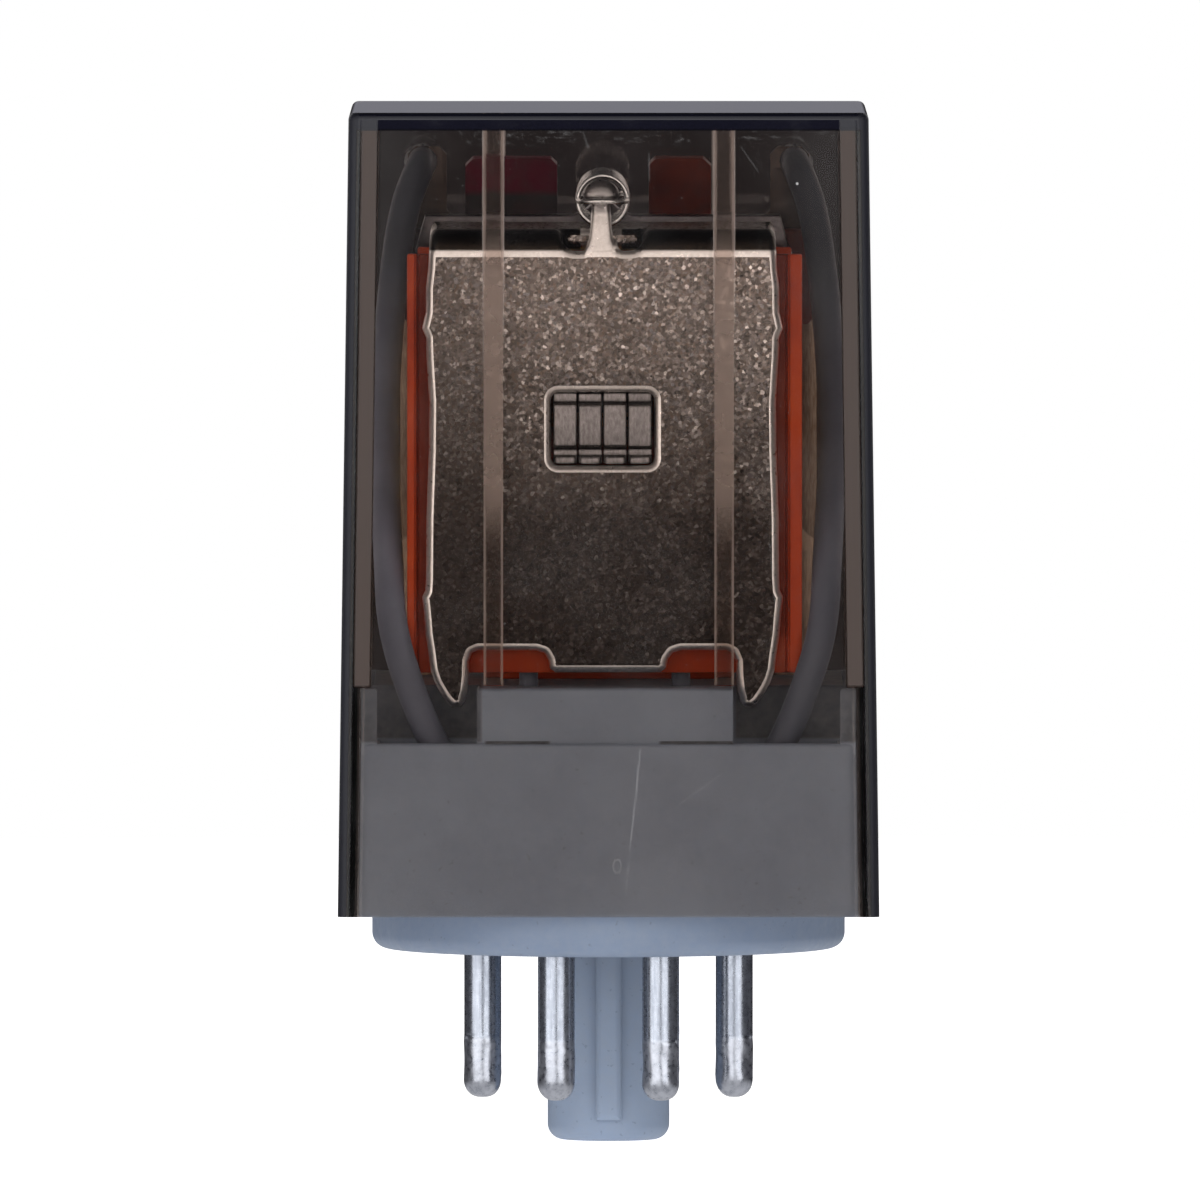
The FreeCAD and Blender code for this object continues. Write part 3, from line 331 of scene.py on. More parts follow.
    # enamelled winding: fine turns round the coil
    k = Mat("enamelled_winding")
    w = k.node("ShaderNodeTexWave", wave_type="BANDS", bands_direction="Y")
    w.inputs["Scale"].default_value = 1.15
    w.inputs["Distortion"].default_value = 0.35
    w.inputs["Detail"].default_value = 1.0
    w.inputs["Detail Scale"].default_value = 0.6
    k.join(k.mm, w.inputs["Vector"])
    c = k.ramp(w.outputs["Fac"], [(0.1, (0.13, 0.035, 0.014)), (0.6, (0.5, 0.16, 0.055)), (0.95, (0.72, 0.3, 0.12))])
    k.put("Base Color", k.mix(k.remap(k.noise(0.5, 3), 0.35, 0.7, 0, 0.4), c, (0.2, 0.05, 0.02)))
    k.put("Metallic", 0.55)
    k.put("Roughness", k.remap(k.noise(3.0, 3), 0.3, 0.7, 0.22, 0.4))
    k.put("Normal", k.bump(w.outputs["Fac"], 0.8, 0.06))
    M["winding"] = k.m
    # amber film tape: long soft wrinkles, turns just visible under it
    k = Mat("film_tape")
    t = k.noise(0.9, 3, 0.5, k.scaled(0.35, 2.6, 0.35))
    c = k.ramp(t, [(0.3, (0.42, 0.24, 0.055)), (0.6, (0.62, 0.40, 0.11)), (0.8, (0.74, 0.53, 0.2))])
    k.put("Base Color", c)
    k.put("Roughness", k.remap(k.noise(1.7, 4), 0.3, 0.7, 0.16, 0.34))
    k.put("Coat Weight", 0.35)
    k.put("Normal", k.bump(t, 0.5, 0.12))
    M["tape"] = k.m
    # pins: bright tin with faint drawn lines, the dipped ends duller and lumpier
    k = Mat("tinned_pin")
    z = k.xyz()["Z"]
    dip = k.remap(z, -5.75, -5.45, 1.0, 0.0, True)
    lines = k.noise(5.0, 3, 0.6, k.scaled(1, 1, 0.07))
    lumps = k.noise(0.9, 3, 0.5)
    dull = k.noise(2.6, 4, 0.6)
    c = k.mix(dip, k.ramp(lines, [(0.3, (0.26, 0.28, 0.325)), (0.7, (0.40, 0.425, 0.475))]),
              k.ramp(dull, [(0.3, (0.26, 0.275, 0.31)), (0.6, (0.45, 0.465, 0.51))]))
    k.put("Base Color", c)
    k.put("Metallic", 1.0)
    k.put("Roughness", k.math("ADD", k.remap(dull, 0.3, 0.7, 0.23, 0.33), k.math("MULTIPLY", dip, k.remap(dull, 0.3, 0.7, 0.0, 0.06))))
    h = k.math("ADD", k.math("MULTIPLY", lines, 0.08), k.math("MULTIPLY", k.math("MULTIPLY", dip, lumps), 1.0))
    k.put("Normal", k.bump(h, 0.35, 0.12))
    M["pin"] = k.m
    M["cover"] = cover_material()
    # solder fillets
    k = metal("solder", (0.5, 0.5, 0.51), (0.8, 0.8, 0.82), 0.3, 0.15, 2.0, 0.4)
    M["solder"] = k.m
    return M


SCRATCHES = [  # x1, z1, x2, z2, half width, depth: on the front wall, mm
    (2.02, 13.3, 1.42, 7.6, 0.03, 0.24), (1.42, 7.6, 1.06, 3.7, 0.025, 0.14), (1.80, 12.4, 1.86, 9.2, 0.02, 0.16),
    (3.7, 9.3, 7.7, 12.2, 0.02, 0.12), (-4.0, 11.5, -2.6, 13.3, 0.02, 0.13), (8.45, 51.7, 9.5, 50.2, 0.025, 0.09),
    (2.57, 51.3, 2.6, 49.6, 0.03, 0.12), (-1.6, 52.6, -1.3, 51.7, 0.03, 0.14), (10.2, 27.0, 10.6, 22.4, 0.018, 0.12),
    (-12.4, 12.1, -10.9, 10.3, 0.018, 0.1), (-3.1, 37.4, -2.2, 35.6, 0.015, 0.10), (5.2, 43.2, 6.4, 40.2, 0.015, 0.10)]


def cover_material():
    """Smoked clear moulding: darkens with thickness, satin on its ribs, scratched and dusty outside."""
    k = Mat("smoked_cover")
    x, y, z = k.xyz()["X"], k.xyz()["Y"], k.xyz()["Z"]
    ax, ay = k.math("ABSOLUTE", x), k.math("ABSOLUTE", y)
    near_side, far_side = k.math("MINIMUM", ax, ay), k.math("MAXIMUM", ax, ay)
    out = k.math("MULTIPLY_ADD", z, -0.013667, 17.2869)
    tall = k.remap(z, 17.3, 17.5, 0.0, 1.0)
    # moulded ribs inside: sandblasted, brighter along their two edges
    rib_at = lambda half, soft: k.math("MAXIMUM", k.near(x, -7.34, half, soft), k.near(x, 7.36, half, soft))
    inside = k.math("MULTIPLY", k.remap(ay, 15.6, 15.75, 1.0, 0.0, True), k.remap(ay, 14.7, 14.8, 0.0, 1.0))
    rib = k.math("MULTIPLY", k.math("MULTIPLY", rib_at(0.66, 0.08), inside), tall)
    rim = k.math("MULTIPLY", rib, k.math("SUBTRACT", 1.0, rib_at(0.36, 0.2)))
    corner = k.math("MULTIPLY", k.math("MULTIPLY", k.remap(near_side, 15.0, 15.08, 0.0, 1.0), k.remap(far_side, 16.05, 16.15, 1.0, 0.0)), tall)
    # satin strips down the outside of the upright edges, over the corner ribs
    skin = k.remap(k.math("SUBTRACT", out, far_side), 0.10, 0.16, 1.0, 0.0)
    edge = k.math("SUBTRACT", out, near_side)
    strip = k.math("MULTIPLY", k.math("MULTIPLY", k.remap(edge, 1.76, 1.92, 1.0, 0.0, True), k.remap(edge, 0.74, 0.96, 0.0, 1.0, True)), tall)
    strip = k.math("MULTIPLY", strip, skin)
    # scratches, a small ring mark and a dust speck on the front wall
    front = k.remap(y, -16.45, -16.35, 1.0, 0.0)
    marks = None
    for x1, z1, x2, z2, w, depth in SCRATCHES:
        dx, dz = x2 - x1, z2 - z1
        ll = dx * dx + dz * dz
        px, pz = k.math("SUBTRACT", x, x1), k.math("SUBTRACT", z, z1)
        along = k.math("MULTIPLY_ADD", px, dx / ll, k.math("MULTIPLY", pz, dz / ll), clamp=True)
        ex = k.math("MULTIPLY_ADD", along, -dx, px)
        ez = k.math("MULTIPLY_ADD", along, -dz, pz)
        dist2 = k.math("MULTIPLY_ADD", ex, ex, k.math("MULTIPLY", ez, ez))
        m = k.remap(dist2, w * w, w * w * 8.0, depth, 0.0)
        marks = m if marks is None else k.math("MAXIMUM", marks, m)

    def oval(cx, cz, rx, rz):
        a = k.math("DIVIDE", k.math("SUBTRACT", x, cx), rx)
        b = k.math("DIVIDE", k.math("SUBTRACT", z, cz), rz)
        return k.math("SQRT", k.math("ADD", k.math("MULTIPLY", a, a), k.math("MULTIPLY", b, b)))

    ring = k.math("MULTIPLY", k.near(oval(0.54, 5.95, 0.25, 0.42), 1.0, 0.06, 0.3), k.remap(y, -16.45, -16.35, 1.0, 0.0))
    speck = k.remap(oval(12.0, 49.4, 0.11, 0.11), 0.6, 1.0, 0.4, 0.0)
    blot = k.remap(k.noise(1.6, 3, 0.6, k.scaled(1, 1, 2.2)), 0.55, 0.7, 0.0, 0.05)
    blot = k.math("MULTIPLY", blot, k.remap(z, 51.6, 52.4, 0.0, 1.0, True))
    broken = k.remap(k.noise(1.4, 1, 0.6), 0.35, 0.6, 0.15, 0.4)
    marks = k.math("MULTIPLY", marks, broken)
    for extra in (speck, blot):
        marks = k.math("MAXIMUM", marks, extra)
    marks = k.math("MULTIPLY", marks, front)
    # overall haze and fine hairlines
    haze = k.math("ADD", k.remap(k.noise(0.16, 2, 0.6), 0.45, 0.72, 0.0, 0.006), k.math("MULTIPLY", front, k.math("MULTIPLY", k.remap(ax, 10.5, 14.0, 0.0, 0.013, True), k.remap(z, 34.0, 46.0, 0.2, 1.0, True))))
    hair = k.remap(k.noise(1.1, 2, 0.4, k.scaled(9.0, 9.0, 0.35)), 0.72, 0.75, 0.0, 0.02)
    dust = k.remap(k.voronoi(1.05, randomness=1.0), 0.03, 0.05, 0.14, 0.0)
    film = k.math("MAXIMUM", k.math("MAXIMUM", k.math("ADD", haze, hair), k.math("MULTIPLY", ring, 0.08)), k.math("MAXIMUM", dust, marks))
    # the upright edges gather no light and read as black lines
    black = k.remap(edge, 0.42, 0.58, 1.0, 0.0, True)
    # the ribs are blasted hardest over their middle reach
    middle = k.near(z, 36.5, 6.0, 5.0)
    blast = k.math("MULTIPLY_ADD", middle, 0.33, 0.028)
    solid = k.math("MULTIPLY", rib, blast)
    solid = k.math("MAXIMUM", solid, k.math("MULTIPLY", rim, k.math("MULTIPLY_ADD", k.noise(0.5, 1), 0.24, 0.24)))
    solid = k.math("MAXIMUM", solid, k.math("MULTIPLY", corner, 0.03))
    # painted shade: the slab of the roof, seen edge on, is made all but black in place of the light it bends away
    slab = k.math("MULTIPLY", k.remap(z, 52.75, 52.95, 0.0, 1.0, True), k.remap(z, 53.86, 53.89, 1.0, 0.0))
    slab = k.math("MULTIPLY", slab, k.remap(k.math("SUBTRACT", out, far_side), 0.0, 0.9, 1.0, 0.0))
    weight = k.math("MAXIMUM", k.math("MAXIMUM", solid, k.math("MAXIMUM", slab, k.math("MULTIPLY", black, 0.97))), k.math("MAXIMUM", k.math("MULTIPLY", strip, 0.75), film))
    k.put("Transmission Weight", k.math("SUBTRACT", 1.0, weight))
    c = k.mix(k.math("MAXIMUM", rib, corner), (0.97, 0.965, 0.97), (0.95, 0.90, 0.90))
    c = k.mix(k.math("MULTIPLY", ring, 0.24), c, (0.02, 0.02, 0.022))
    k.put("Base Color", k.mix(k.remap(k.math("MAXIMUM", slab, black), 0.0, 0.05, 0.0, 1.0), k.mix(k.remap(strip, 0.0, 0.04, 0.0, 1.0), c, (0.056, 0.034, 0.026)), (0.005, 0.005, 0.011)))
    r = k.math("ADD", k.remap(k.noise(0.35, 3, 0.65), 0.35, 0.75, 0.0, 0.03), k.math("ADD", k.math("MULTIPLY", rib, k.math("MULTIPLY_ADD", middle, 0.2, 0.06)), k.math("MULTIPLY", k.remap(edge, 0.6, 0.8, 1.0, 0.0), 0.55)))
    k.put("Roughness", k.math("ADD", r, k.math("ADD", k.math("MULTIPLY", strip, 0.3), k.math("MULTIPLY", film, 0.15))))
    k.b.inputs["IOR"].default_value = 1.42
    k.put("Normal", k.bump(k.noise(0.16, 1, 0.5), 0.007, 0.6))
    clear = k.node("ShaderNodeBsdfTransparent")
    clear.inputs[0].default_value = (0.90, 0.90, 0.90, 1)
    lp = k.node("ShaderNodeLightPath")
    mx = k.node("ShaderNodeMixShader")
    k.join(lp.outputs["Is Shadow Ray"], mx.inputs[0])
    k.join(k.b.outputs[0], mx.inputs[1])
    k.join(clear.outputs[0], mx.inputs[2])
    k.join(mx.outputs[0], k.out.inputs["Surface"])
    vol = k.node("ShaderNodeVolumeAbsorption")
    vol.inputs["Color"].default_value = (0.50, 0.37, 0.27, 1)
    vol.inputs["Density"].default_value = 500.0
    k.join(vol.outputs[0], k.out.inputs["Volume"])
    return k.m


# ------------------------------------------------------------------ mesh helpers
def add(name, mesh, body, *nodes, mats=(), smooth=True, slot=None, parent=True):
    o = bpy.data.objects.new(name, mesh)
    scene.collection.objects.link(o)
    for m in mats:
        mesh.materials.append(m)
    if smooth:
        mesh.polygons.foreach_set("use_smooth", [True] * len(mesh.polygons))
        mesh.update()
    if parent:
        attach(o, body)
    if nodes:
        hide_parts(*nodes)
    return o


def split_normals(mesh, degrees=32):
    """Hard edges over an angle, smooth below it."""
    bm = bmesh.new()
    bm.from_mesh(mesh)
    limit = math.radians(degrees)
    for e in bm.edges:
        e.smooth = not (len(e.link_faces) == 2 and e.calc_face_angle(0.0) > limit)
    bm.to_mesh(mesh)
    bm.free()


def bevelled(node, body, name, mats, width, segments=2, angle=28, edge_slot=None, slot=None, join=1.2):
    """A copy of a CAD piece with its edges rolled over."""
    mesh = NODES[node].data.copy()
    mesh.materials.clear()
    bm = bmesh.new()
    bm.from_mesh(mesh)
    bmesh.ops.remove_doubles(bm, verts=bm.verts, dist=0.004 * MM)
    bmesh.ops.dissolve_limit(bm, angle_limit=math.radians(join), verts=bm.verts, edges=bm.edges, delimit=set())
    edges = [e for e in bm.edges if len(e.link_faces) == 2 and e.calc_face_angle(0.0) > math.radians(angle) and e.calc_length() > 0.02 * MM]
    bmesh.ops.bevel(bm, geom=edges, offset=width * MM, offset_type="OFFSET", segments=segments, profile=0.5, affect="EDGES",
                    clamp_overlap=True, material=-1 if edge_slot is None else edge_slot)
    bmesh.ops.triangulate(bm, faces=[f for f in bm.faces if len(f.verts) > 4])
    bm.to_mesh(mesh)
    bm.free()
    o = add(name, mesh, body, node, mats=mats, slot=slot)
    split_normals(mesh, 40)
    return o


def rounded(points, radius, steps=5):
    """A closed 2D outline with its corners rounded; radius is one number or one for each point."""
    out = []
    n = len(points)
    for i in range(n):
        r = radius[i] if isinstance(radius, (list, tuple)) else radius
        p, a, b = Vector(points[i]), Vector(points[i - 1]), Vector(points[(i + 1) % n])
        u, w = (a - p), (b - p)
        lu, lw = u.length, w.length
        if r <= 0 or lu < 1e-6 or lw < 1e-6:
            out.append(p)
            continue
        u, w = u / lu, w / lw
        ang = u.angle(w)
        if ang > math.radians(176):
            out.append(p)
            continue
        cut = min(r / math.tan(ang / 2), 0.48 * lu, 0.48 * lw)
        r2 = cut * math.tan(ang / 2)
        c = p + (u + w).normalized() * (r2 / math.sin(ang / 2))
        s, e = p + u * cut, p + w * cut
        a0 = math.atan2(s.y - c.y, s.x - c.x)
        a1 = math.atan2(e.y - c.y, e.x - c.x)
        d = (a1 - a0 + math.pi) % (2 * math.pi) - math.pi
        for k in range(steps + 1):
            t = a0 + d * k / steps
            out.append(Vector((c.x + r2 * math.cos(t), c.y + r2 * math.sin(t))))
    return out


def stamping(outer, holes, thick, roll, res=3):
    """A flat stamped plate with rolled edges as mesh data: x and y of the outline, z through its thickness, in mm."""
    cu = bpy.data.curves.new("stamp", "CURVE")
    cu.dimensions = "2D"
    cu.fill_mode = "BOTH"
    cu.extrude = (thick / 2 - roll)
    cu.bevel_depth = roll
    cu.bevel_resolution = res
    cu.offset = -roll
    for loop in [outer] + holes:
        sp = cu.splines.new("POLY")
        sp.points.add(len(loop) - 1)
        for q, p in zip(sp.points, loop):
            q.co = (p[0], p[1], 0, 1)
        sp.use_cyclic_u = True
    ob = bpy.data.objects.new("stamp", cu)
    scene.collection.objects.link(ob)
    bpy.context.view_layer.update()
    mesh = bpy.data.meshes.new_from_object(ob.evaluated_get(bpy.context.evaluated_depsgraph_get()))
    bpy.data.objects.remove(ob)
    bpy.data.curves.remove(cu)
    return mesh


def tube_mesh(points, radius, order=3, res=12, sides=6, close=True):
    """A tube round a smooth curve with these control points, in mm."""
    cu = bpy.data.curves.new("tube", "CURVE")
    cu.dimensions = "3D"
    cu.bevel_depth = radius * MM
    cu.bevel_resolution = sides
    cu.resolution_u = res
    cu.use_fill_caps = close
    sp = cu.splines.new("NURBS")
    sp.points.add(len(points) - 1)
    for q, p in zip(sp.points, points):
        q.co = (p[0] * MM, p[1] * MM, p[2] * MM, 1)
    sp.order_u = order
    sp.use_endpoint_u = True
    ob = bpy.data.objects.new("tube", cu)
    scene.collection.objects.link(ob)
    bpy.context.view_layer.update()
    mesh = bpy.data.meshes.new_from_object(ob.evaluated_get(bpy.context.evaluated_depsgraph_get()))
    bpy.data.objects.remove(ob)
    bpy.data.curves.remove(cu)
    return mesh


def merge(meshes):
    bm = bmesh.new()
    for m in meshes:
        bm.from_mesh(m)
    out = bpy.data.meshes.new("merged")
    bm.to_mesh(out)
    bm.free()
    return out


def loft(sections, cx, steps=40):
    """Rings of rounded rectangles stacked upward: (z, centre y, half width, half depth, squareness), mm."""
    bm = bmesh.new()
    rings = []
    for z, yc, w, t, e in sections:
        ring = []
        for i in range(steps):
            a = 2 * math.pi * (i + 0.5) / steps
            ca, sa = math.cos(a), math.sin(a)
            ring.append(bm.verts.new(((cx + w * math.copysign(abs(ca) ** (2 / e), ca)) * MM, (yc + t * math.copysign(abs(sa) ** (2 / e), sa)) * MM, z * MM)))
        rings.append(ring)
    for a, b in zip(rings, rings[1:]):
        for i in range(steps):
            j = (i + 1) % steps
            bm.faces.new((a[i], a[j], b[j], b[i]))
    bm.faces.new(list(reversed(rings[0])))
    bm.faces.new(rings[-1])
    bmesh.ops.recalc_face_normals(bm, faces=bm.faces)
    mesh = bpy.data.meshes.new("loft")
    bm.to_mesh(mesh)
    bm.free()
    return mesh


def block(lo, hi, width, segments=3):
    """A block between two corners with rolled edges, mm."""
    bm = bmesh.new()
    bmesh.ops.create_cube(bm, size=1.0)
    for v in bm.verts:
        v.co = [(lo[i] + (hi[i] - lo[i]) * (v.co[i] + 0.5)) * MM for i in range(3)]
    bmesh.ops.bevel(bm, geom=list(bm.edges), offset=width * MM, segments=segments, profile=0.5, affect="EDGES", clamp_overlap=True)
    mesh = bpy.data.meshes.new("block")
    bm.to_mesh(mesh)
    bm.free()
    return mesh


def lathe(profile, cx, cy, steps=40, wobble=None):
    """A turned piece round a vertical axis through (cx, cy): profile [(radius, z)] in mm."""
    bm = bmesh.new()
    rings = []
    for r, z in profile:
        if r < 1e-6:
            rings.append([bm.verts.new((cx * MM, cy * MM, z * MM))])
            continue
        ring = []
        for i in range(steps):
            a = 2 * math.pi * i / steps
            rr = r + (wobble(a, z) if wobble else 0.0)
            ring.append(bm.verts.new(((cx + rr * math.cos(a)) * MM, (cy + rr * math.sin(a)) * MM, z * MM)))
        rings.append(ring)
    for a, b in zip(rings, rings[1:]):
        for i in range(steps):
            j = (i + 1) % steps
            if len(a) == 1:
                bm.faces.new((a[0], b[i], b[j]))
            elif len(b) == 1:
                bm.faces.new((a[i], b[0], a[j]))
            else:
                bm.faces.new((a[i], b[i], b[j], a[j]))
    bmesh.ops.recalc_face_normals(bm, faces=bm.faces)
    mesh = bpy.data.meshes.new("lathe")
    bm.to_mesh(mesh)
    bm.free()
    return mesh


# ------------------------------------------------------------------ yoke: one stamping, folded over at the top
def yoke(M):
    zb, rm = 44.65, 1.05  # fold line and mid-surface radius
    s2 = zb + rm * math.pi / 2
    y_end = 5.9
    top = s2 + (y_end + 12.05)
    hw = 11.5

    def side(sgn):
        # from the foot up to the top of one side; (distance in from the edge, height)
        e = lambda d: MX + sgn * (hw - d)
        return [(e(2.08), 15.95), (e(1.9), 16.0), (e(1.6), 16.25), (e(1.26), 16.72), (e(1.0), 17.15), (e(0.76), 17.62), (e(0.54), 18.3), (e(0.4), 19.4), (e(0.22), 20.6), (e(0.12), 21.9), (e(0.03), 22.7), (e(0.0), 22.98), (e(0.2), 23.4),
                (e(0.24), 24.1), (e(0.27), 28), (e(0.42), 32.3), (e(0.45), 35.4), (e(0.28), 38.2), (e(0.24), 39.5), (e(0.0), 40.1), (e(0.07), 40.42), (e(0.23), 41.1), (e(0.24), 42.7), (e(0.38), 43.9), (e(0.46), 45.4),
                (e(0.47), 46.4), (e(0.47), top)]

    notch = [(8.62, 16.02), (8.42, 16.32), (8.24, 17.0), (8.14, 18.0), (8.11, 18.9), (7.9, 19.4), (7.5, 19.58), (4.6, 19.58), (4.1, 19.42), (3.8, 19.0), (3.66, 18.45), (3.3, 18.17)]
    notch_l = [(-3.4, 18.17), (-3.75, 18.42), (-3.85, 18.95), (-4.1, 19.4), (-4.6, 19.56), (-8.3, 19.58), (-8.7, 19.4), (-8.88, 18.9), (-8.9, 18.0), (-8.99, 17.0), (-9.18, 16.32), (-9.38, 16.02)]
    right, left = side(1), side(-1)
    outer = right + list(reversed(left)) + list(reversed(notch_l)) + list(reversed(notch))
    outer = rounded(outer, 0.16, 3)
    w, h, cz = 3.27, 2.32, 33.69
    window = rounded([(MX - w, cz - h), (MX + w, cz - h), (MX + w, cz + h), (MX - w, cz + h)], 0.45, 6)
    # two reliefs in the fold, either side of the tab
    rel_top = s2 + (-10.6 + 12.05)
    reliefs = rounded([(MX - 2.55, 45.0), (MX - 1.0, 45.0), (MX - 1.0, 45.6), (MX + 1.0, 45.6), (MX + 1.0, 45.0), (MX + 2.55, 45.0),
                       (MX + 2.55, rel_top), (MX - 2.55, rel_top)], [0.75, 0.35, 0.1, 0.1, 0.35, 0.75, 0.5, 0.5], 6)
    mesh = stamping(outer, [window, list(reversed(reliefs))], 1.4, 0.6, 5)
    bm = bmesh.new()
    bm.from_mesh(mesh)
    bmesh.ops.remove_doubles(bm, verts=bm.verts, dist=1e-5)
    cuts = [zb + (s2 - zb) * i / 8 for i in range(9)] + [zb - 0.8]
    for s in cuts:
        bmesh.ops.bisect_plane(bm, geom=list(bm.verts) + list(bm.edges) + list(bm.faces), plane_co=(0, s, 0), plane_no=(0, 1, 0), dist=1e-5)
    for v in bm.verts:
        x, s, t = v.co
        if s <= zb:
            y, z = -13.1 - t, s
        elif s <= s2:
            a = (s - zb) / rm
            r = rm + t
            y, z = -12.05 - r * math.cos(a), zb + r * math.sin(a)
        else:
            y, z = -12.05 + (s - s2), zb + rm + t
        v.co = (x * MM, y * MM, z * MM)
    plate = bpy.data.meshes.new("yoke_sheet")
    bm.to_mesh(plate)
    bm.free()
    # the hooked tab stands up out of the reliefs: a leaning stem, a drawn neck and a coined round head
    tm2 = loft([(43.9, -13.1, 1.25, 0.68, 7), (44.6, -13.1, 1.25, 0.69, 7), (45.0, -13.07, 1.12, 0.69, 6), (45.35, -13.0, 0.92, 0.69, 6), (45.8, -12.92, 0.78, 0.68, 5),
                (46.3, -12.83, 0.70, 0.68, 5), (46.8, -12.74, 0.66, 0.67, 5), (47.15, -12.68, 0.66, 0.64, 4), (47.4, -12.67, 0.64, 0.58, 3.4), (47.7, -12.7, 0.60, 0.54, 3),
                (48.0, -12.72, 0.60, 0.54, 2.8), (48.2, -12.74, 0.78, 0.6, 2.5), (48.35, -12.76, 1.02, 0.66, 2.3), (48.5, -12.76, 1.15, 0.69, 2.2), (48.7, -12.76, 1.17, 0.7, 2.1),
                (48.9, -12.74, 1.12, 0.67, 2.1), (49.1, -12.72, 1.0, 0.6, 2.05), (49.28, -12.7, 0.82, 0.5, 2), (49.42, -12.7, 0.6, 0.38, 2), (49.52, -12.7, 0.38, 0.25, 2), (49.58, -12.7, 0.15, 0.1, 2)], MX - 0.1)
    mesh = merge([plate, tm2])
    bm = bmesh.new()
    bm.from_mesh(mesh)
    bmesh.ops.recalc_face_normals(bm, faces=bm.faces)
    bm.normal_update()
    for f in bm.faces:
        n = f.normal
        flat = max(abs(n.y), abs(n.z)) > 0.985 if f.calc_center_median().z > 44.7 * MM else abs(n.y) > 0.985
        f.material_index = 0 if flat else 1
        c = f.calc_center_median()
        if c.z > 44.62 * MM and c.y < -12.0 * MM:
            f.material_index = 1
    bm.to_mesh(mesh)
    bm.free()
    o = add("yoke_plate", mesh, ROOT, "yoke", mats=[M["plate"], M["plate_edge"]], slot="plated_steel")
    split_normals(mesh, 50)
    return o


# ------------------------------------------------------------------ pins, spring and leads
def pins(M):
    rnd = random.Random(11)
    for k in range(1, 9):
        a = math.radians(-67.5 + 45 * (k - 1))
        cx, cy = 8.725 * math.cos(a), 8.725 * math.sin(a)
        dip = -5.55 + rnd.uniform(-0.5, 0.45)
        ph, bulge = rnd.uniform(0, 6.28), rnd.uniform(0.0, 0.05)
        tip = -9.45
        prof = [(1.02, 0.35), (1.18, 0.12), (1.18, 0.0)]
        z = -0.25
        while z > tip + 1.05:
            t = min(1.0, max(0.0, (dip - z) / 0.4))
            g = 0.035 * t + (bulge * math.sin((z - dip) * 1.1) * t if t > 0 else 0)
            prof.append((1.18 + g * 0.8, z))
            z -= 0.12 if abs(z - dip) < 0.6 else 0.25
        r_end = prof[-1][0]
        z0 = prof[-1][1]
        for i in range(1, 9):
            t = math.pi / 2 * i / 8
            prof.append((r_end * math.cos(t) ** 0.8 if i < 8 else 0.0, z0 + (tip - z0) * math.sin(t)))

        def wobble(an, zz, dip=dip, ph=ph):
            if zz > dip or zz < tip + 0.3:
                return 0.0
            return 0.02 * math.sin(2 * an + ph) + 0.015 * math.sin(3 * an + zz * 2.1 + ph)

        mesh = lathe(prof, cx, cy, 44, wobble)
        o = add("pin_%d_tinned" % k, mesh, ROOT, "pin_%d" % k, mats=[M["pin"]], slot="tinned_pin")
        split_normals(mesh, 50)


def spring(M):
    r, w, zc = 1.58, 0.18, 48.2
    y0, y1, turns = -11.9, 4.1, 20.5
    pts = []
    # front half loop: crosses in front of the tab's neck, one leg runs into the coil
    for i in range(9):
        a = math.pi * i / 8
        pts.append((MX - r * math.cos(a), -12.56 - r * math.sin(a), zc))
    loop_front = [(MX - r, y0 + 0.35, zc), (MX - r, -12.2, zc)] + pts + [(MX + r, -12.2, zc), (MX + r, y0 - 0.12, zc + 0.02)]
    coil = []
    n = int(turns * 20)
    for i in range(n + 1):
        t = i / n
        a = 2 * math.pi * turns * t
        coil.append((MX + r * math.cos(a), y0 + (y1 - y0) * t, zc - r * math.sin(a)))
    back = []
    for i in range(9):
        a = math.pi * i / 8
        back.append((MX - r * math.cos(a), 6.12 + r * math.sin(a), zc))
    loop_back = [(MX - r, y1 + 0.12, zc), (MX - r, 5.4, zc)] + back + [(MX + r, 5.4, zc), (MX + r, y1 + 0.1, zc)]
    mesh = tube_mesh(loop_front + coil + loop_back, w, 3, 3, 3)
    o = add("spring_wire", mesh, ROOT, "return_spring", mats=[M["spring"]], slot="spring_wire", parent=False)
    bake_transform(o)


LEAD = [(-11.95, 8.62, 50.2), (-12.1, 6.2, 49.95), (-13.2, 4.9, 47.2), (-13.95, 2.4, 41.5), (-14.35, -1.0, 35.5), (-14.3, -5.5, 30.2),
        (-14.05, -10.2, 25.3), (-13.85, -13.1, 21.0), (-12.6, -13.75, 17.0), (-11.1, -13.2, 13.4), (-8.9, -11.9, 10.4), (-5.2, -9.5, 8.6),
        (-3.339, -8.061, 7.4), (-3.339, -8.061, 3.6)]


def leads(M):
    for name, s in (("left", 1), ("right", -1)):
        pts = [(s * x, y, z) for x, y, z in LEAD]
        if s < 0:
            pts = [(x - 0.1 if 5 < i < 10 else x, y, z) for i, (x, y, z) in enumerate(pts)]
        mesh = tube_mesh(pts, 0.95, 3, 14, 8)
        o = add("lead_sleeve_" + name, mesh, ROOT, "flexible_lead_" + name, mats=[M["sleeve"]], slot="lead_sleeve", parent=False)
        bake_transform(o)
        # the soldered end on the blade's lug: a flattened bead behind the sleeve
        bead = [(0.0, 0.62), (0.55, 0.5), (0.95, 0.2), (1.12, -0.05), (0.0, -0.12)]
        m = lathe([(r, z) for r, z in bead], 0, 0, 24, lambda a, z: 0.08 * math.sin(2 * a + 1) + 0.05 * math.sin(3 * a))
        swing = Matrix.Rotation(math.radians(5), 4, "X")
        place = Matrix.Translation((s * -11.95 * MM, 8.98 * MM, 50.25 * MM)) @ swing @ Matrix.Rotation(math.radians(-90), 4, "X")
        m.transform(place)
        add("solder_lug_" + name, m, ARM, mats=[M["solder"]], slot="rivet_metal")


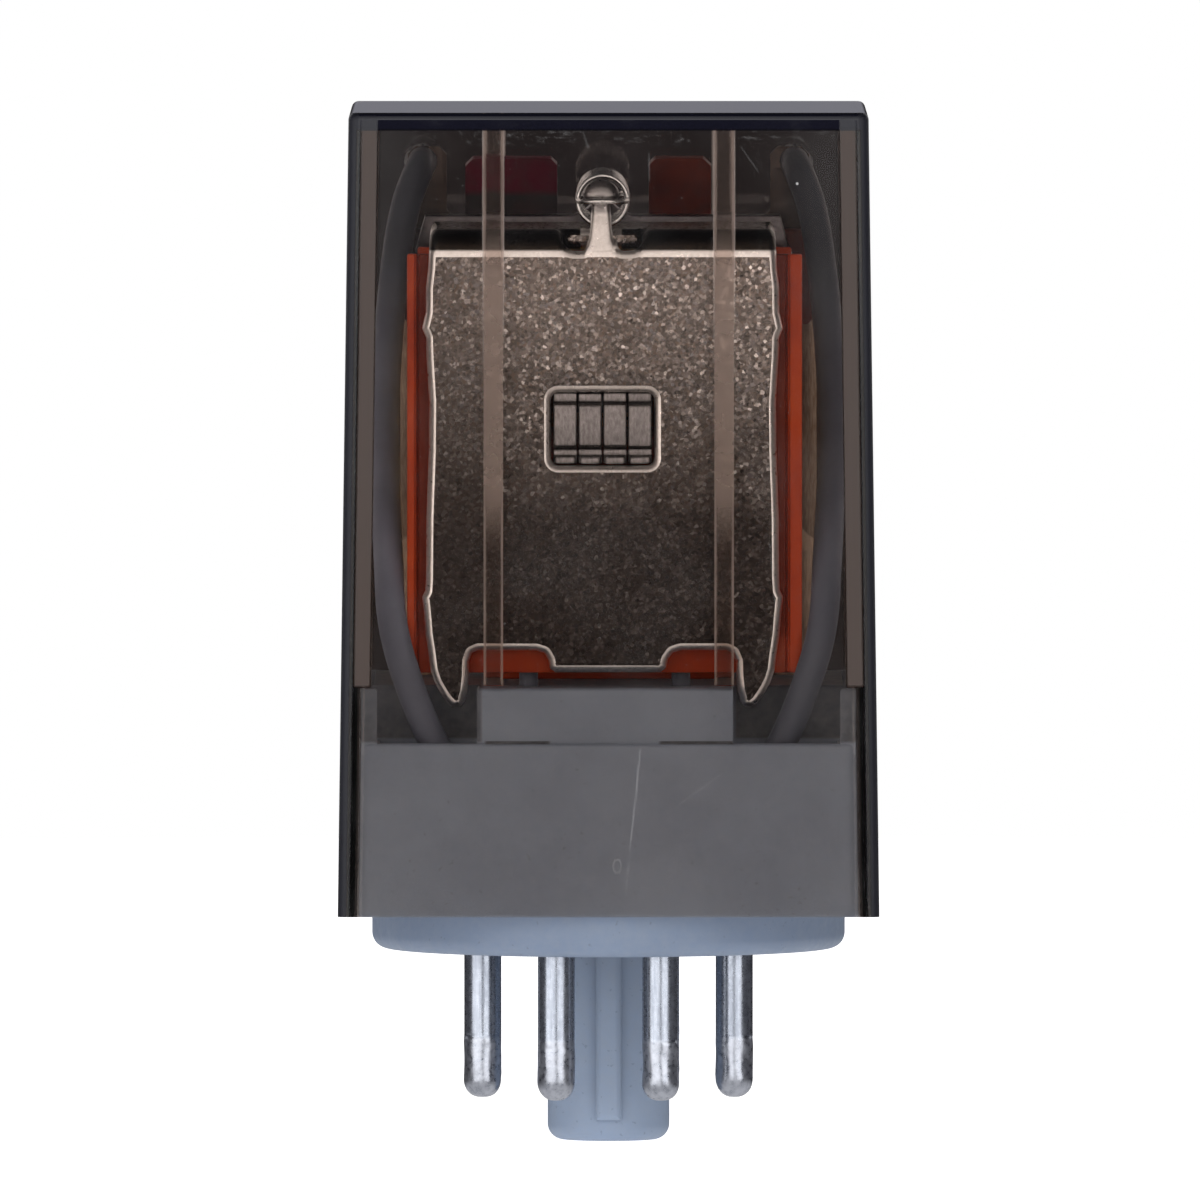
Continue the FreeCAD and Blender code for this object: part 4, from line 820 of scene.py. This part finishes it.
# ------------------------------------------------------------------ the rest: CAD pieces with finer edges and their own finish
def finish_nodes(M):
    bevelled("plug_base", ROOT, "base_moulding", [M["base"]], 0.14, 2, 30, slot="base_plastic")
    bevelled("bobbin", ROOT, "bobbin_frame", [M["bobbin"]], 0.12, 2, 30, slot="bobbin_plastic")
    bevelled("armature", ARM, "armature_plate", [M["armature"], M["armature"]], 0.14, 2, 30, edge_slot=1, slot="plated_steel")
    bevelled("contact_carrier", ARM, "carrier_moulding", [M["carrier"]], 0.16, 2, 30, slot="carrier_plastic")
    for s in ("left", "right"):
        bevelled("moving_blade_" + s, ARM, "blade_strip_" + s, [M["strip"]], 0.05, 2, 30, slot="contact_strip")
        for k in ("no", "nc"):
            bevelled("%s_strip_%s" % (k, s), ROOT, "%s_strip_leaf_%s" % (k, s), [M["strip"]], 0.08, 2, 30, slot="contact_strip")
    rnd = random.Random(5)
    for k in range(1, 5):
        bevelled("core_lamination_%d" % k, ROOT, "core_leaf_%d" % k, [M["core_dark"]], 0.1, 2, 25, slot="core_steel")
        # the cleaned front end of each lamination, stepped where the stack was clamped
        x0 = MX + (k - 3) * 1.58 + 0.025
        x1 = x0 + 1.53
        j = lambda a: rnd.uniform(-a, a)
        ends = [block((x0 + 0.05, -13.66 + j(0.02), 32.62 + j(0.04)), (x1 - 0.06, -13.3, 35.2 + j(0.04)), 0.13),
                block((x0 + 0.04, -13.34 + j(0.02), 35.42), (x1 - 0.05, -13.1, 35.94 + j(0.03)), 0.1),
                block((x0 + 0.03, -13.5 + j(0.01), 32.02), (x1 - 0.01, -13.1, 32.38 + j(0.02)), 0.09),
                block((x0 + 0.14, -13.4 + j(0.02), 31.46 + j(0.02)), (x1 - 0.16, -13.1, 31.9), 0.14)]
        o = add("core_end_%d" % k, merge(ends), ROOT, mats=[M["core"]], slot="core_steel")
        split_normals(o.data, 50)
    material_for = {"cover": "cover", "shading_ring": "copper", "coil_winding": "winding", "coil_tape": "tape", "carrier_rivets": "rivet"}
    for s in ("left", "right"):
        material_for["coil_lead_" + s] = "sleeve"
        material_for["blade_rivets_" + s] = "rivet"
        for k in ("no_contact_", "nc_contact_", "moving_contact_"):
            material_for[k + s] = "contact"
    for node, mat in material_for.items():
        o = NODES[node]
        o.data.materials.clear()
        o.data.materials.append(M[mat])


def stage_and_light():
    # a round pale table top; the camera looks just over it at a plain white surround
    floor = bpy.data.meshes.new("floor")
    bm = bmesh.new()
    bmesh.ops.create_circle(bm, cap_ends=True, segments=96, radius=0.45)
    bm.to_mesh(floor)
    bm.free()
    fo = bpy.data.objects.new("floor", floor)
    fo.location = (0, 0, -12.32 * MM)
    scene.collection.objects.link(fo)
    k = Mat("pale_floor")
    k.put("Base Color", (0.9, 0.9, 0.9, 1))
    k.put("Roughness", 0.9)
    k.b.inputs["Specular IOR Level"].default_value = 0.0
    lp = k.node("ShaderNodeLightPath")
    k.put("Emission Color", (1, 1, 1, 1))
    away = k.node("ShaderNodeVectorMath", operation="LENGTH")
    k.join(k.mm, away.inputs[0])
    # painted light: round the object the floor glows as a pool of light for all but camera rays, lighting it from below
    pool = k.remap(away.outputs[1] if len(away.outputs) > 1 else away.outputs[0], 55.0, 110.0, 0.7, 0.0, True)
    k.put("Emission Strength", k.math("MAXIMUM", k.math("MULTIPLY", lp.outputs["Is Camera Ray"], 0.98), pool))
    floor.materials.append(k.m)
    fo.visible_glossy = False
    world = bpy.data.worlds.new("studio")
    scene.world = world
    world.use_nodes = True
    nt = world.node_tree
    nt.nodes.clear()
    out = nt.nodes.new("ShaderNodeOutputWorld")
    bg = nt.nodes.new("ShaderNodeBackground")
    seen = nt.nodes.new("ShaderNodeBackground")
    mixer = nt.nodes.new("ShaderNodeMixShader")
    lpw = nt.nodes.new("ShaderNodeLightPath")
    tc = nt.nodes.new("ShaderNodeTexCoord")
    sp = nt.nodes.new("ShaderNodeSeparateXYZ")
    rp = nt.nodes.new("ShaderNodeValToRGB")
    mr = nt.nodes.new("ShaderNodeMapRange")
    mr.inputs[1].default_value, mr.inputs[2].default_value = -1.0, 1.0
    nt.links.new(tc.outputs["Generated"], sp.inputs[0])
    nt.links.new(sp.outputs[2], mr.inputs[0])
    nt.links.new(mr.outputs[0], rp.inputs[0])
    e = rp.color_ramp.elements
    e[0].position, e[0].color = 0.0, (0.9, 0.9, 0.92, 1)
    e[1].position, e[1].color = 1.0, (0.05, 0.05, 0.055, 1)
    for pos, c in ((0.30, (0.75, 0.75, 0.77)), (0.40, (0.45, 0.45, 0.47)), (0.455, (0.025, 0.022, 0.023)), (0.498, (0.025, 0.022, 0.023)), (0.508, (0.21, 0.21, 0.24)), (0.54, (0.16, 0.16, 0.18)), (0.60, (0.05, 0.05, 0.055))):
        m = e.new(pos)
        m.color = (*c, 1)
    nt.links.new(rp.outputs[0], bg.inputs[0])
    bg.inputs[1].default_value = 1.0
    seen.inputs[0].default_value = (1, 1, 1, 1)
    seen.inputs[1].default_value = 1.0
    nt.links.new(lpw.outputs["Is Camera Ray"], mixer.inputs[0])
    nt.links.new(bg.outputs[0], mixer.inputs[1])
    nt.links.new(seen.outputs[0], mixer.inputs[2])
    nt.links.new(mixer.outputs[0], out.inputs[0])

    def box_light(name, az0, az1, z0, z1, dist, radiance, tilt=0.0):
        """An upright soft box spanning two azimuths (degrees, 0 is the front) and two heights."""
        a, half = math.radians((az0 + az1) / 2), math.radians(abs(az1 - az0) / 2)
        size, size_y = 2 * dist * math.tan(half), z1 - z0
        ld = bpy.data.lights.new(name, "AREA")
        ld.shape = "RECTANGLE"
        ld.size, ld.size_y = size, size_y
        ld.energy = radiance * math.pi * size * size_y
        o = bpy.data.objects.new(name, ld)
        loc = Vector((math.sin(a) * dist, -math.cos(a) * dist, (z0 + z1) / 2))
        aim = Vector((0, 0, loc.z)) - loc
        o.location = loc
        o.rotation_euler = aim.to_track_quat("-Z", "Y").to_euler()
        o.rotation_euler.rotate_axis("X", math.radians(-tilt))
        o.visible_camera = False
        scene.collection.objects.link(o)

    box_light("soft_top", -64, 50, 0.055, 0.175, 0.30, 2.1)
    box_light("low_left", -66, -5.5, -0.055, 0.055, 0.30, 2.6)
    box_light("low_right", 5.5, 44, -0.055, 0.055, 0.30, 2.6)
    box_light("high", -50, 40, 0.20, 0.42, 0.28, 1.1, 20)
    box_light("back_left", -168, -112, 0.066, 0.26, 0.36, 1.7)
    box_light("back_right", 112, 168, 0.066, 0.26, 0.36, 1.7)
    scene.view_settings.view_transform = "Standard"
    scene.view_settings.look = "None"
    scene.view_settings.exposure = 0.0


def camera():
    dist, elev = 2.4, math.radians(2.1)
    target = Vector((-0.545, 0, 22.28)) * MM
    cam = bpy.data.cameras.new("camera")
    cam.sensor_width = 36.0
    cam.lens = 36.0 * dist / (76.923 * MM)
    cam.clip_end = 50.0
    cam.clip_start = 0.01
    o = bpy.data.objects.new("camera", cam)
    pos = target + Vector((0, -math.cos(elev), math.sin(elev))) * dist
    o.location = pos
    o.rotation_euler = (target - pos).to_track_quat("-Z", "Y").to_euler()
    scene.collection.objects.link(o)
    scene.camera = o


def main():
    camera()
    M = make_materials()
    yoke(M)
    pins(M)
    spring(M)
    leads(M)
    finish_nodes(M)
    stage_and_light()


main()
